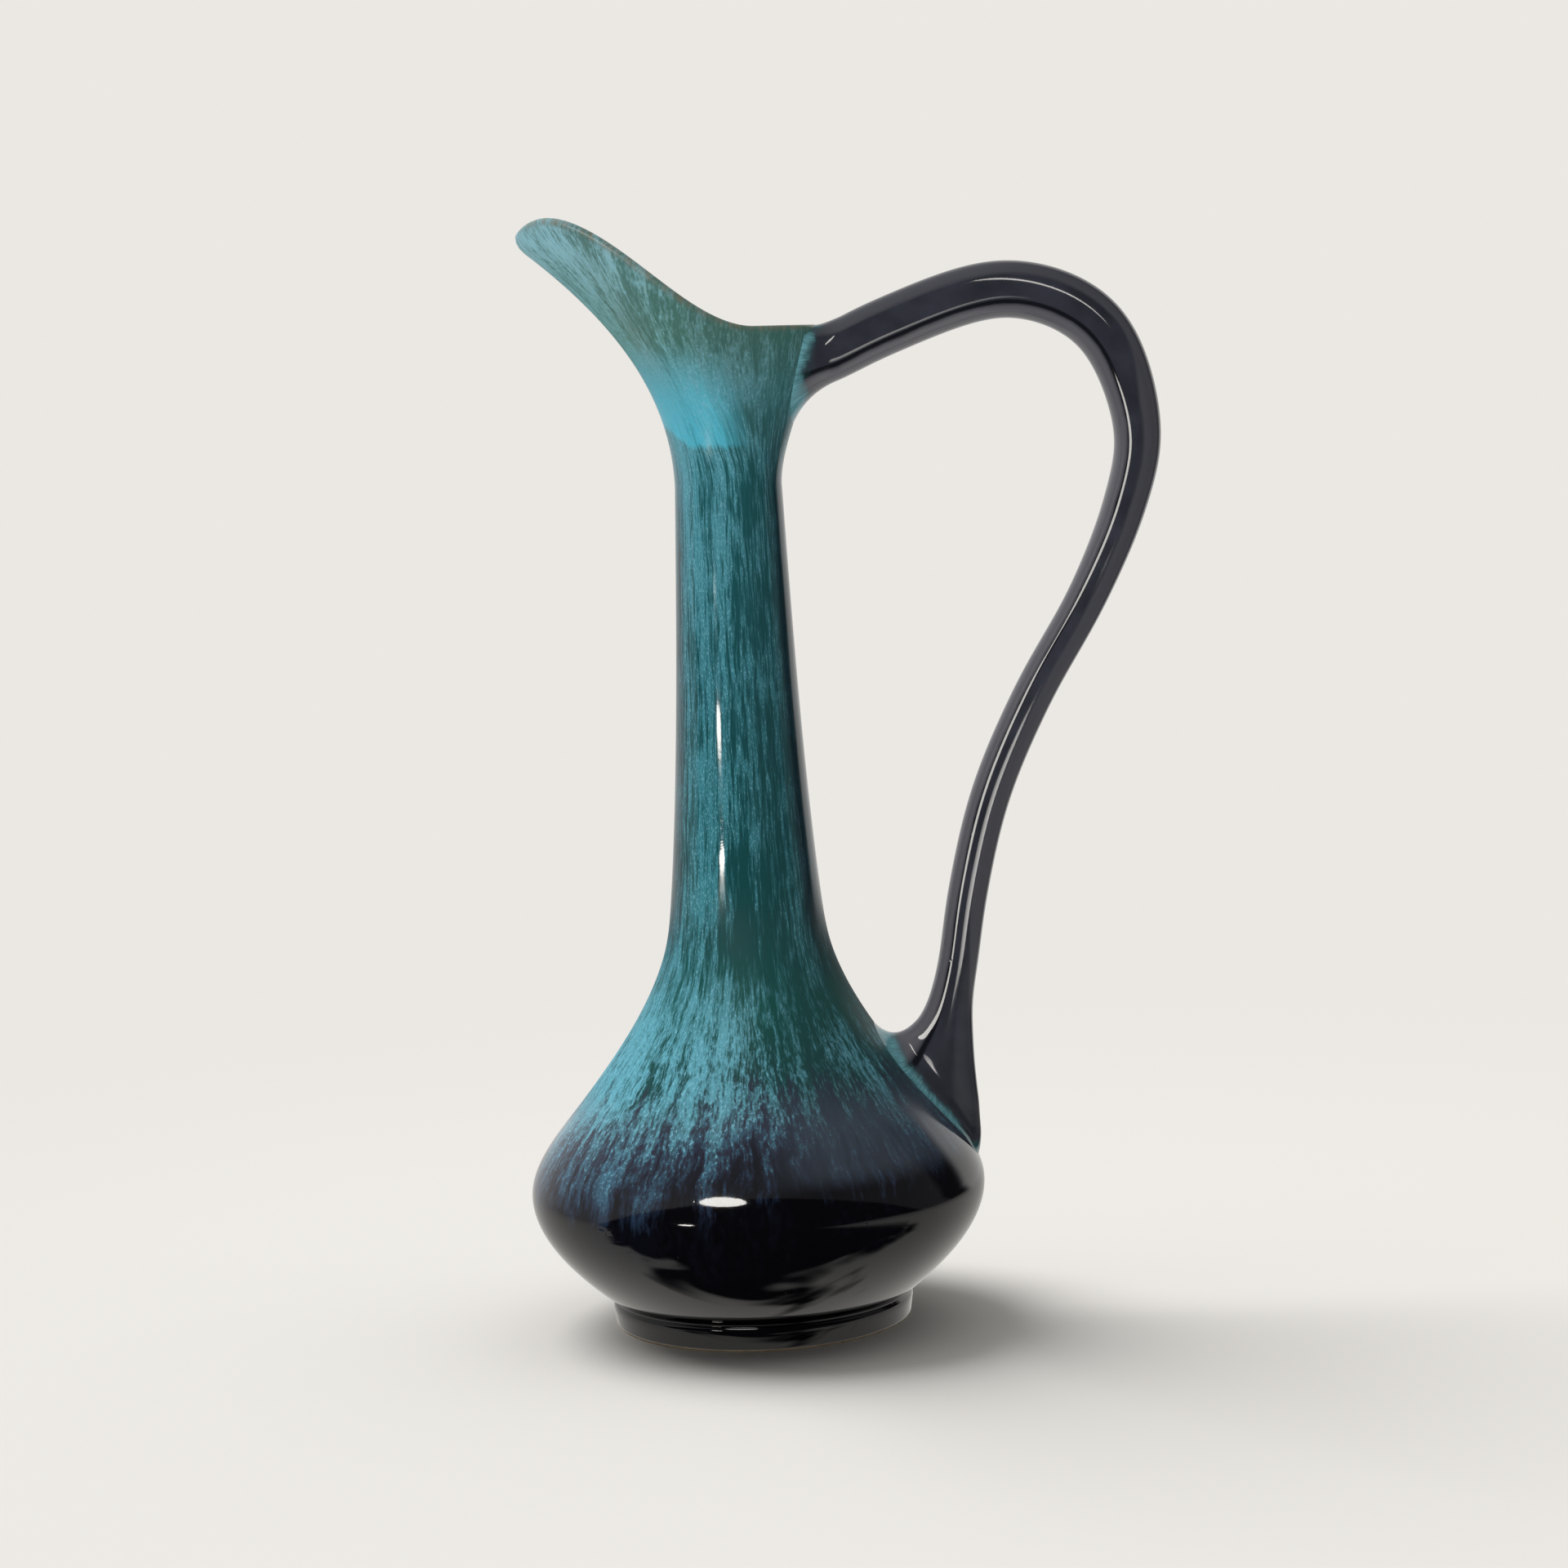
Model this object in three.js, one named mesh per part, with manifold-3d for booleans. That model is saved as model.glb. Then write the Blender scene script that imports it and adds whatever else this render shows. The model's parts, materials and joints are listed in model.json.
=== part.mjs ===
// Long-necked pottery pitcher: a footed bowl, a coned shoulder, a tall neck and a spouted mouth,
// thrown as separate sections and joined rim to rim, with a looped handle luted on by two clay coils.
// Millimetres, +Z up. The spout points along -X and the handle along +X. The origin lies on the
// table under the middle of the pitcher, half way between the belly's front and the handle's back.
import * as THREE from "three";
import { mergeVertices } from "three/addons/utils/BufferGeometryUtils.js";
import Module from "manifold-3d";

const wasm = await Module();
wasm.setup();

// Foot ring
const FOOT_RADIUS = 39.3;
const FOOT_HEIGHT = 6.5;
const FOOT_RING_WIDTH = 8;
const FOOT_EDGE_ROUND = 1.2;

// Thrown body, measured on its outside: heights above the table, radii about the pitcher's own axis
const BOWL_SEAT_RADIUS = 38.4;
const BELLY_HEIGHT = 35;
const BELLY_RADIUS = 59.3;
const SHOULDER_HEIGHT = 60;
const SHOULDER_RADIUS = 44.2;
const NECK_SWEEP_HEIGHT = 96;
const NECK_SWEEP_RADIUS = 22.3;
const NECK_ROOT_HEIGHT = 112;
const NECK_ROOT_RADIUS = 19.5;
const NECK_TOP_HEIGHT = 218;
const NECK_TOP_RADIUS = 13.8;

// Lean of the outside at the same stations, in millimetres of radius for each millimetre of height
const BOWL_SEAT_LEAN = 1.3;
const SHOULDER_LEAN = -0.8;
const NECK_SWEEP_LEAN = -0.33;
const NECK_ROOT_LEAN = -0.095;
const NECK_TOP_LEAN = -0.035;

// Walls
const BODY_WALL = 4.4;
const NECK_WALL = 4;
const LIP_WALL = 2.6;
const FLOOR_THICKNESS = 5;
const FLOOR_CORNER_ROUND = 9;

// Spouted mouth: its height is from the neck's top to the rim at the back, reaches are from the
// pitcher's axis. The lip's droop and curl fade out at their angles from the middle of the spout.
const MOUTH_HEIGHT = 39;
const BACK_REACH = 25;
const SPOUT_REACH = 53.9;
const MOUTH_HALF_WIDTH = 19;
const MOUTH_TAPER = 0.15;
const SPOUT_RISE = 28.8;
const SPOUT_RISE_LENGTH = 55;
const SPOUT_RISE_START = 8.6;
const LIP_DROOP = 4.4;
const LIP_DROOP_ANGLE = THREE.MathUtils.degToRad(43.5);
const LIP_CURL = 2.3;
const LIP_CURL_ANGLE = THREE.MathUtils.degToRad(58);
const LIP_CURL_START = 0.89;
const SPOUT_LEAN_ANGLE = THREE.MathUtils.degToRad(52.5);
const FLARE_NECK_PULL = 0.85;
const FLARE_BACK_PULL = 0.6;
const FLARE_SPOUT_PULL = 1.47;

// Handle loop: the reach is to its back from the pitcher's axis, the rest from the back of the rim
const HANDLE_REACH = 112;
const HANDLE_RISE = 8.5;
const HANDLE_APEX_OUT = 49;
const HANDLE_BACK_DROP = 28.5;
const HANDLE_ROOT_THICKNESS = 18.5;
const HANDLE_TOP_THICKNESS = 14.7;
const HANDLE_BACK_THICKNESS = 12.2;
const HANDLE_WAIST_THICKNESS = 10.3;
const HANDLE_SEAT_THICKNESS = 28;
const HANDLE_TOP_WIDTH = 13.5;
const HANDLE_WAIST_WIDTH = 10.5;
const HANDLE_SEAT_HEIGHT = 46;
const HANDLE_SQUARENESS = 2.3;

// Luting coils
const COIL_REACH = 10;
const COIL_RIM_REACH = 1;
const COIL_TAIL_REACH = 4;
const COIL_EDGE = 0.9;
const COIL_DEPTH = 2;

const JOINT_GAP = 0.3;
const ROUND_SIDES = 48;
const HANDLE_SIDES = 20;

const GLAZE_NAVY = new THREE.MeshStandardMaterial({ color: 0x17171f, roughness: 0.12, metalness: 0 });
const GLAZE_TEAL = new THREE.MeshStandardMaterial({ color: 0x2b7c86, roughness: 0.12, metalness: 0 });
const GLAZE_SEAM = new THREE.MeshStandardMaterial({ color: 0x1f5c63, roughness: 0.15, metalness: 0 });

const RIM_HEIGHT = NECK_TOP_HEIGHT + MOUTH_HEIGHT;

// Stations of the body's outside, from the bowl's seat on the foot to the top of the neck
const BODY_STATIONS = [
  { height: FOOT_HEIGHT, radius: BOWL_SEAT_RADIUS, lean: BOWL_SEAT_LEAN },
  { height: BELLY_HEIGHT, radius: BELLY_RADIUS, lean: 0 },
  { height: SHOULDER_HEIGHT, radius: SHOULDER_RADIUS, lean: SHOULDER_LEAN },
  { height: NECK_SWEEP_HEIGHT, radius: NECK_SWEEP_RADIUS, lean: NECK_SWEEP_LEAN },
  { height: NECK_ROOT_HEIGHT, radius: NECK_ROOT_RADIUS, lean: NECK_ROOT_LEAN },
  { height: NECK_TOP_HEIGHT, radius: NECK_TOP_RADIUS, lean: NECK_TOP_LEAN },
];

// Cubic Hermite blend of two values and their slopes over a span, at share t, with its derivative.
function hermite(from, to, slopeFrom, slopeTo, span, t) {
  const t2 = t * t;
  const t3 = t2 * t;
  const value =
    (2 * t3 - 3 * t2 + 1) * from +
    (3 * t2 - 2 * t3) * to +
    span * ((t3 - 2 * t2 + t) * slopeFrom + (t3 - t2) * slopeTo);
  const slope =
    ((6 * t2 - 6 * t) * (from - to)) / span + (3 * t2 - 4 * t + 1) * slopeFrom + (3 * t2 - 2 * t) * slopeTo;
  return { value, slope };
}

// The body's outside radius and lean at a height.
function bodyAt(height) {
  const last = BODY_STATIONS.length - 2;
  const above = BODY_STATIONS.findIndex((station) => station.height > height);
  const index = above < 0 ? last : THREE.MathUtils.clamp(above - 1, 0, last);
  const low = BODY_STATIONS[index];
  const high = BODY_STATIONS[index + 1];
  const span = high.height - low.height;
  const blend = hermite(low.radius, high.radius, low.lean, high.lean, span, (height - low.height) / span);
  return { radius: blend.value, lean: blend.slope };
}

function outerRadius(height) {
  return bodyAt(height).radius;
}

// The wall is measured square to the outside, so a leaning wall is wider along the radius.
function innerRadius(height) {
  const { radius, lean } = bodyAt(height);
  const rise = THREE.MathUtils.smoothstep(height, BELLY_HEIGHT, NECK_ROOT_HEIGHT);
  const wall = THREE.MathUtils.lerp(BODY_WALL, NECK_WALL, rise);
  return radius - wall * Math.hypot(1, lean);
}

// Points (radius, height) along a wall between two heights.
function wallPoints(radiusAt, from, to, steps) {
  return Array.from({ length: steps + 1 }, (_, i) => {
    const height = THREE.MathUtils.lerp(from, to, i / steps);
    return new THREE.Vector2(radiusAt(height), height);
  });
}

// A solid of revolution about the pitcher's axis.
function revolve(profile) {
  return new THREE.LatheGeometry(profile, ROUND_SIDES).rotateX(Math.PI / 2);
}

// A closed solid through rings of points: capped at both ends, or wrapped from the last ring to the
// first.
function loft(rings, wrapped) {
  const sides = rings[0].length;
  const points = rings.flat();
  const faces = [];
  const bands = wrapped ? rings.length : rings.length - 1;
  for (let i = 0; i < bands; i++) {
    for (let j = 0; j < sides; j++) {
      const a = i * sides + j;
      const b = i * sides + ((j + 1) % sides);
      const c = ((i + 1) % rings.length) * sides + ((j + 1) % sides);
      const d = ((i + 1) % rings.length) * sides + j;
      faces.push(a, b, c, a, c, d);
    }
  }
  if (!wrapped) {
    const lastRing = (rings.length - 1) * sides;
    for (let j = 1; j < sides - 1; j++) {
      faces.push(0, j + 1, j, lastRing, lastRing + j, lastRing + j + 1);
    }
  }
  return new THREE.BufferGeometry().setFromPoints(points).setIndex(faces);
}

// Geometry to a solid for joining and cutting, and back.
function toSolid(geometry) {
  const bare = geometry.clone();
  bare.deleteAttribute("normal");
  bare.deleteAttribute("uv");
  const merged = mergeVertices(bare);
  const vertProperties = merged.attributes.position.array;
  const triVerts = new Uint32Array(merged.index.array);
  return new wasm.Manifold(new wasm.Mesh({ numProp: 3, vertProperties, triVerts }));
}

function toGeometry(solid) {
  const mesh = solid.getMesh();
  return new THREE.BufferGeometry()
    .setAttribute("position", new THREE.BufferAttribute(mesh.vertProperties, 3))
    .setIndex(new THREE.BufferAttribute(mesh.triVerts, 1));
}

// Foot ring: an upright band with rounded lower edges, open under the bowl's floor.
function footRing() {
  const inner = FOOT_RADIUS - FOOT_RING_WIDTH;
  const round = FOOT_EDGE_ROUND;
  const section = new THREE.Path()
    .moveTo(inner, FOOT_HEIGHT)
    .lineTo(inner, round)
    .absarc(inner + round, round, round, Math.PI, 1.5 * Math.PI, false)
    .lineTo(FOOT_RADIUS - round, 0)
    .absarc(FOOT_RADIUS - round, round, round, 1.5 * Math.PI, 2 * Math.PI, false)
    .lineTo(FOOT_RADIUS, FOOT_HEIGHT)
    .closePath();
  return revolve(section.getPoints(3));
}

// Bowl: a flat floor on the foot ring, a rounded inside corner and a wall out to the belly.
function bowl() {
  const floor = FOOT_HEIGHT + FLOOR_THICKNESS;
  const cornerTop = floor + FLOOR_CORNER_ROUND;
  const corner = new THREE.QuadraticBezierCurve(
    new THREE.Vector2(innerRadius(cornerTop), cornerTop),
    new THREE.Vector2(innerRadius(floor), floor),
    new THREE.Vector2(innerRadius(floor) - FLOOR_CORNER_ROUND, floor),
  );
  return revolve([
    new THREE.Vector2(0, FOOT_HEIGHT),
    ...wallPoints(outerRadius, FOOT_HEIGHT, BELLY_HEIGHT, 9),
    ...wallPoints(innerRadius, BELLY_HEIGHT, cornerTop, 4),
    ...corner.getPoints(3).slice(1),
    new THREE.Vector2(0, floor),
  ]);
}

// A plain section of the wall between two heights, with flat ends.
function wallSection(from, to, outerSteps, innerSteps) {
  const profile = [
    ...wallPoints(outerRadius, from, to, outerSteps),
    ...wallPoints(innerRadius, to, from, innerSteps),
  ];
  return revolve([...profile, profile[0].clone()]);
}

// 1 at the middle of the spout, easing to 0 at an angle of spread on either side.
function spoutShare(angle, spread) {
  return THREE.MathUtils.smoothstep(spread - Math.abs(Math.PI - angle), 0, spread);
}

// Rim of the mouth at an angle about the axis: a leaf in plan that rises to the spout and droops a
// little at its lip.
function rimPoint(angle) {
  const cos = Math.cos(angle);
  const x = (BACK_REACH - SPOUT_REACH) / 2 + ((BACK_REACH + SPOUT_REACH) / 2) * cos;
  const y = MOUTH_HALF_WIDTH * Math.sin(angle) * (1 + MOUTH_TAPER * cos);
  const climb = THREE.MathUtils.smoothstep(SPOUT_RISE_START - x, 0, SPOUT_RISE_LENGTH);
  const droop = LIP_DROOP * spoutShare(angle, LIP_DROOP_ANGLE);
  return new THREE.Vector3(x, y, RIM_HEIGHT + SPOUT_RISE * climb - droop);
}

// Outside of the mouth: at each angle a curve leaves the neck upright and leans out into the rim. The
// spout's lip curls up again. Share 0 is the neck, share 1 the rim, and shares above 1 run on past it.
function mouthPoint(angle, share) {
  const neck = new THREE.Vector3(
    NECK_TOP_RADIUS * Math.cos(angle),
    NECK_TOP_RADIUS * Math.sin(angle),
    NECK_TOP_HEIGHT,
  );
  const rim = rimPoint(angle);
  const chord = neck.distanceTo(rim);
  const toSpout = (1 - Math.cos(angle)) / 2;
  const lean = SPOUT_LEAN_ANGLE * toSpout;
  const leaning = new THREE.Vector3(
    Math.sin(lean) * Math.cos(angle),
    Math.sin(lean) * Math.sin(angle),
    Math.cos(lean),
  );
  const pull = THREE.MathUtils.lerp(FLARE_BACK_PULL, FLARE_SPOUT_PULL, toSpout);
  const start = [0, 0, FLARE_NECK_PULL * chord];
  const end = leaning.clone().multiplyScalar(chord * pull).toArray();
  const from = neck.toArray();
  const to = rim.toArray();
  const onWall = Math.min(share, 1);
  const point = from.map((value, k) => hermite(value, to[k], start[k], end[k], 1, onWall).value);
  const curling = Math.max(onWall - LIP_CURL_START, 0) / (1 - LIP_CURL_START);
  const curl = LIP_CURL * spoutShare(angle, LIP_CURL_ANGLE) * curling ** 2;
  return new THREE.Vector3(...point)
    .add(new THREE.Vector3(curl, 0, 0))
    .addScaledVector(leaning, chord * (share - onWall));
}

// Outward direction of the mouth's outside, square to the surface. At the neck the wall stands upright.
function mouthNormal(angle, share) {
  if (share === 0) {
    return new THREE.Vector3(Math.cos(angle), Math.sin(angle), 0);
  }
  const step = 1e-3;
  const around = mouthPoint(angle + step, share).sub(mouthPoint(angle - step, share));
  const above = mouthPoint(angle, Math.min(share + step, 1));
  const below = mouthPoint(angle, Math.max(share - step, 0));
  return around.cross(above.sub(below)).normalize();
}

function ring(pointAt) {
  return Array.from({ length: ROUND_SIDES }, (_, j) => pointAt((2 * Math.PI * j) / ROUND_SIDES));
}

// Spouted mouth: outside up to the rim, round lip, inside down to the neck. The wall thins to the lip.
function spoutedMouth() {
  const wallSteps = 10;
  const curlSteps = 3;
  const lipSteps = 4;
  const shares = [
    ...Array.from({ length: wallSteps }, (_, i) => (LIP_CURL_START * i) / wallSteps),
    ...Array.from({ length: curlSteps }, (_, i) => THREE.MathUtils.lerp(LIP_CURL_START, 1, i / curlSteps)),
    1,
  ];
  const outside = shares.map((share) => ring((angle) => mouthPoint(angle, share)));
  const lip = Array.from({ length: lipSteps - 1 }, (_, i) => {
    const turn = (Math.PI * (i + 1)) / lipSteps;
    return ring((angle) => {
      const edge = mouthPoint(angle, 1);
      const up = edge.clone().sub(mouthPoint(angle, 0.999)).normalize();
      return edge
        .addScaledVector(mouthNormal(angle, 1), (-LIP_WALL / 2) * (1 - Math.cos(turn)))
        .addScaledVector(up, (LIP_WALL / 2) * Math.sin(turn));
    });
  });
  const inside = shares.toReversed().map((share) => {
    const wall = THREE.MathUtils.lerp(NECK_WALL, LIP_WALL, share);
    return ring((angle) => mouthPoint(angle, share).addScaledVector(mouthNormal(angle, share), -wall));
  });
  return loft([...outside, ...lip, ...inside], true);
}

// The mouth's outside grown by a margin, filled and run on past its rim. A root on its back is cut to
// this.
function mouthCutter(margin) {
  const shares = [0, 0.15, 0.3, 0.45, 0.6, 0.75, 0.9, 1, 1.6];
  const grown = (angle, share) =>
    mouthPoint(angle, share).addScaledVector(mouthNormal(angle, Math.min(share, 1)), margin);
  const rings = shares.map((share) => ring((angle) => grown(angle, share)));
  return toSolid(loft(rings, false));
}

// The body's outside from the belly to the neck's root, grown by a margin and filled.
function shoulderCutter(margin) {
  const grown = (height) => outerRadius(height) + margin * Math.hypot(1, bodyAt(height).lean);
  return toSolid(
    revolve([
      new THREE.Vector2(0, FOOT_HEIGHT),
      ...wallPoints(grown, FOOT_HEIGHT, NECK_ROOT_HEIGHT, 24),
      new THREE.Vector2(0, NECK_ROOT_HEIGHT),
    ]),
  );
}

// Knots of the handle's centre line. The arch's knots are out from and above the back of the rim. The
// limb's knots are shares: down from the rim to the seat on the shoulder, and out of the straight line
// between them.
function handleKnots() {
  const back = HANDLE_REACH - HANDLE_BACK_THICKNESS / 2 - BACK_REACH;
  const seatRadius = outerRadius(HANDLE_SEAT_HEIGHT);
  const waist = { thick: HANDLE_WAIST_THICKNESS, wide: HANDLE_WAIST_WIDTH };
  const top = { thick: HANDLE_TOP_THICKNESS, wide: HANDLE_TOP_WIDTH };
  const seat = { thick: HANDLE_SEAT_THICKNESS, wide: HANDLE_WAIST_WIDTH };
  const between = (from, to, share) => ({
    thick: THREE.MathUtils.lerp(from.thick, to.thick, share),
    wide: THREE.MathUtils.lerp(from.wide, to.wide, share),
  });
  const behind = { thick: HANDLE_BACK_THICKNESS, wide: HANDLE_TOP_WIDTH };
  const arch = [
    { out: -17, up: -10.2, thick: HANDLE_ROOT_THICKNESS, wide: HANDLE_TOP_WIDTH },
    { out: 2, up: -6.4, ...top },
    { out: 14, up: -1, ...top },
    { out: HANDLE_APEX_OUT, up: HANDLE_RISE, ...top },
    { out: back - 9.6, up: -1.4, ...top },
    { out: back, up: -HANDLE_BACK_DROP, ...behind },
  ];
  const limb = [
    { down: 0.223, out: 0.871, ...between(behind, waist, 0.5) },
    { down: 0.336, out: 0.698, ...waist },
    { down: 0.455, out: 0.467, ...waist },
    { down: 0.577, out: 0.273, ...waist },
    { down: 0.701, out: 0.14, ...waist },
    { down: 0.784, out: 0.072, ...waist },
    { down: 0.825, out: 0.032, ...between(waist, seat, 0.04) },
    { down: 0.862, out: -0.003, ...between(waist, seat, 0.23) },
    { down: 0.918, out: -0.0786, ...between(waist, seat, 0.845) },
    { down: 0.95, out: -0.1126, ...seat },
    { down: 1.013, out: -0.13, ...seat },
  ];
  const onArch = arch.map(({ out, up, ...size }) => ({
    x: BACK_REACH + out,
    z: RIM_HEIGHT + up,
    ...size,
  }));
  const onLimb = limb.map(({ down, out, ...size }) => ({
    x: THREE.MathUtils.lerp(BACK_REACH, seatRadius, down) + out * back,
    z: THREE.MathUtils.lerp(RIM_HEIGHT, HANDLE_SEAT_HEIGHT, down),
    ...size,
  }));
  return [...onArch, ...onLimb];
}

const HANDLE_KNOTS = handleKnots();
const HANDLE_LINE = new THREE.CatmullRomCurve3(HANDLE_KNOTS.map(({ x, z }) => new THREE.Vector3(x, 0, z)));
const HANDLE_SPANS = HANDLE_KNOTS.length - 1;
const RINGS_PER_SPAN = 3;

// Thickness (x) and width (y) along the same knots, as a curve of their own
const HANDLE_SIZE = new THREE.CatmullRomCurve3(
  HANDLE_KNOTS.map(({ thick, wide }) => new THREE.Vector3(thick, wide, 0)),
  false,
  "catmullrom",
);

// A point on the handle's skin: place along its line, turn about it (0 is the outer side of the loop),
// and growth. The section is a superellipse, flatter on its sides than an oval.
function handlePoint(place, turn, growth) {
  const along = HANDLE_LINE.getTangent(place);
  const outward = new THREE.Vector3(-along.z, 0, along.x);
  const squared = (value) => Math.sign(value) * Math.abs(value) ** (2 / HANDLE_SQUARENESS);
  const size = HANDLE_SIZE.getPoint(place);
  const x = (size.x / 2 + growth) * squared(Math.cos(turn));
  const y = (size.y / 2 + growth) * squared(Math.sin(turn));
  return HANDLE_LINE.getPoint(place).addScaledVector(outward, x).add(new THREE.Vector3(0, -y, 0));
}

const HANDLE_TURNS = Array.from({ length: HANDLE_SIDES }, (_, j) => (2 * Math.PI * j) / HANDLE_SIDES);

// The whole handle before its ends are cut to the pot, grown by a margin.
function handleBlank(margin) {
  const count = HANDLE_SPANS * RINGS_PER_SPAN;
  const rings = Array.from({ length: count + 1 }, (_, i) =>
    HANDLE_TURNS.map((turn) => handlePoint(i / count, turn, margin)),
  );
  return toSolid(loft(rings, false));
}

// The two surfaces that the handle is luted to. Each gives the wall at a point's own height and side.
const shoulderSide = {
  wallAt(point) {
    const { radius, lean } = bodyAt(point.z);
    const angle = Math.atan2(point.y, point.x);
    const normal = new THREE.Vector3(Math.cos(angle), Math.sin(angle), -lean).normalize();
    return { radius, normal };
  },
};

const mouthSide = {
  wallAt(point) {
    const angle = Math.atan2(point.y, point.x);
    let low = 0;
    let high = 2;
    for (let i = 0; i < 24; i++) {
      const middle = (low + high) / 2;
      if (mouthPoint(angle, middle).z < point.z) {
        low = middle;
      } else {
        high = middle;
      }
    }
    const wall = mouthPoint(angle, low);
    return { radius: Math.hypot(wall.x, wall.y), normal: mouthNormal(angle, Math.min(low, 1)) };
  },
};

function standOff(side, point) {
  return Math.hypot(point.x, point.y) - side.wallAt(point).radius;
}

// The point moved straight out from, or in to, a set distance off the wall.
function settle(side, point, margin) {
  const scale = (side.wallAt(point).radius + margin) / Math.hypot(point.x, point.y);
  return new THREE.Vector3(point.x * scale, point.y * scale, point.z);
}

// A luting coil round one end of the handle, before it is cut to fit. At each turn it is a hollow-faced
// fillet from handle to pot, widest on the inside of the loop and thin on the outside, where handle and
// pot run on in one line.
function coilBlank(end, side, outerReach) {
  const scan = 600;
  const places = Array.from({ length: scan }, (_, i) => Math.abs(end - i / (2 * scan)));
  const sections = HANDLE_TURNS.map((turn) => {
    const reach = THREE.MathUtils.lerp(outerReach, COIL_REACH, (1 - Math.cos(turn)) / 2);
    const edgeAt = (place) => handlePoint(place, turn, COIL_EDGE);
    const foot = places.find((place) => standOff(side, edgeAt(place)) > COIL_EDGE);
    const corner = edgeAt(foot);
    const beyond = places.slice(places.indexOf(foot) + 1);
    const upper = beyond.find((place) => edgeAt(place).distanceTo(corner) > reach);
    const away = corner.clone().sub(handlePoint(foot, turn, 0));
    const slide = away.projectOnPlane(side.wallAt(corner).normal).setLength(reach);
    const lower = corner.clone().add(slide);
    const face = new THREE.QuadraticBezierCurve3(edgeAt(upper), corner, settle(side, lower, COIL_EDGE));
    return [
      handlePoint(upper, turn, -COIL_DEPTH),
      ...face.getPoints(5),
      settle(side, lower, -COIL_DEPTH),
      handlePoint((foot + end) / 2, turn, -COIL_DEPTH),
    ];
  });
  return toSolid(loft(end === 0 ? sections : sections.reverse(), true));
}

const mouthRoom = mouthCutter(JOINT_GAP);
const shoulderRoom = shoulderCutter(JOINT_GAP);
const handleRoom = handleBlank(JOINT_GAP);
const handle = handleBlank(0).subtract(mouthRoom).subtract(shoulderRoom);
const upperCoil = coilBlank(0, mouthSide, COIL_RIM_REACH).subtract(mouthRoom).subtract(handleRoom);
const lowerCoil = coilBlank(1, shoulderSide, COIL_TAIL_REACH).subtract(shoulderRoom).subtract(handleRoom);

const pieces = [
  ["foot_ring", footRing(), GLAZE_NAVY],
  ["bowl", bowl(), GLAZE_NAVY],
  ["shoulder", wallSection(BELLY_HEIGHT, NECK_ROOT_HEIGHT, 12, 8), GLAZE_TEAL],
  ["neck", wallSection(NECK_ROOT_HEIGHT, NECK_TOP_HEIGHT, 8, 6), GLAZE_TEAL],
  ["spouted_mouth", spoutedMouth(), GLAZE_TEAL],
  ["handle", toGeometry(handle), GLAZE_NAVY],
  ["upper_joint_coil", toGeometry(upperCoil), GLAZE_SEAM],
  ["lower_joint_coil", toGeometry(lowerCoil), GLAZE_SEAM],
];

// The pitcher's axis stands to the spout's side of the origin.
const AXIS_X = (Math.max(SPOUT_REACH, BELLY_RADIUS) - HANDLE_REACH) / 2;
const pitcher = new THREE.Group();
for (const [name, geometry, material] of pieces) {
  const mesh = new THREE.Mesh(geometry, material);
  mesh.name = name;
  mesh.position.x = AXIS_X;
  pitcher.add(mesh);
}
export default pitcher;
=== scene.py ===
"""A long-necked pottery pitcher in running blue glaze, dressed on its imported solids.

The pot's axis, foot, belly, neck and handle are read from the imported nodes. One thrown skin stands for the
foot, bowl, shoulder, neck and spouted mouth, one swept skin for the handle with its luted roots, and a ring
of bare clay shows under the foot.
"""

import json
import math

import bpy
import numpy as np
from mathutils import Matrix, Vector

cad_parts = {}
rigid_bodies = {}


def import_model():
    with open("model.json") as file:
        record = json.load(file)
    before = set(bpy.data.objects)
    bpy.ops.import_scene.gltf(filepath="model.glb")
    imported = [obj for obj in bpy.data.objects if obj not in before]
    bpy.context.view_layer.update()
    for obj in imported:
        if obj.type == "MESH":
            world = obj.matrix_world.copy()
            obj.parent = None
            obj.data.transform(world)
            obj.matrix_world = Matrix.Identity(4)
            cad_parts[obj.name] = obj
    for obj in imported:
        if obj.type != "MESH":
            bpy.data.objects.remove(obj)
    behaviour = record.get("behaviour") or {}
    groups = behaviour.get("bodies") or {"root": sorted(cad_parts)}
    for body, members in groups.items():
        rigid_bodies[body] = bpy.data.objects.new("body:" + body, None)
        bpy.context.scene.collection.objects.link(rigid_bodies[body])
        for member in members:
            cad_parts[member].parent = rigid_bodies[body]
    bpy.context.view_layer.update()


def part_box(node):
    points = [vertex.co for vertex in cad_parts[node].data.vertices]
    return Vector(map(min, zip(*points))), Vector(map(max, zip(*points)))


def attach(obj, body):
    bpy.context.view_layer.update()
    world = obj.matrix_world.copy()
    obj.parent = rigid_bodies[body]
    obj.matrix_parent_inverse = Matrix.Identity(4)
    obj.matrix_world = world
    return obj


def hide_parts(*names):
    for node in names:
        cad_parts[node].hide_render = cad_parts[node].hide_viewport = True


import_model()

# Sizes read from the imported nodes
foot_low, foot_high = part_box("foot_ring")
belly_low, belly_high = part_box("bowl")
neck_low, neck_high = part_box("neck")
handle_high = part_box("handle")[1]

AXIS_X = (foot_low.x + foot_high.x) / 2
FOOT_RADIUS = (foot_high.x - foot_low.x) / 2
FOOT_HEIGHT = foot_high.z
BELLY_RADIUS = (belly_high.x - belly_low.x) / 2
BELLY_HEIGHT = belly_high.z
NECK_ROOT_RADIUS = (neck_high.x - neck_low.x) / 2
NECK_ROOT_HEIGHT = neck_low.z
NECK_TOP_HEIGHT = neck_high.z
HANDLE_REACH = handle_high.x - AXIS_X

# One millimetre of the pitcher's drawing
DRAWN_NECK_TOP = 218
MM = NECK_TOP_HEIGHT / DRAWN_NECK_TOP

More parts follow.
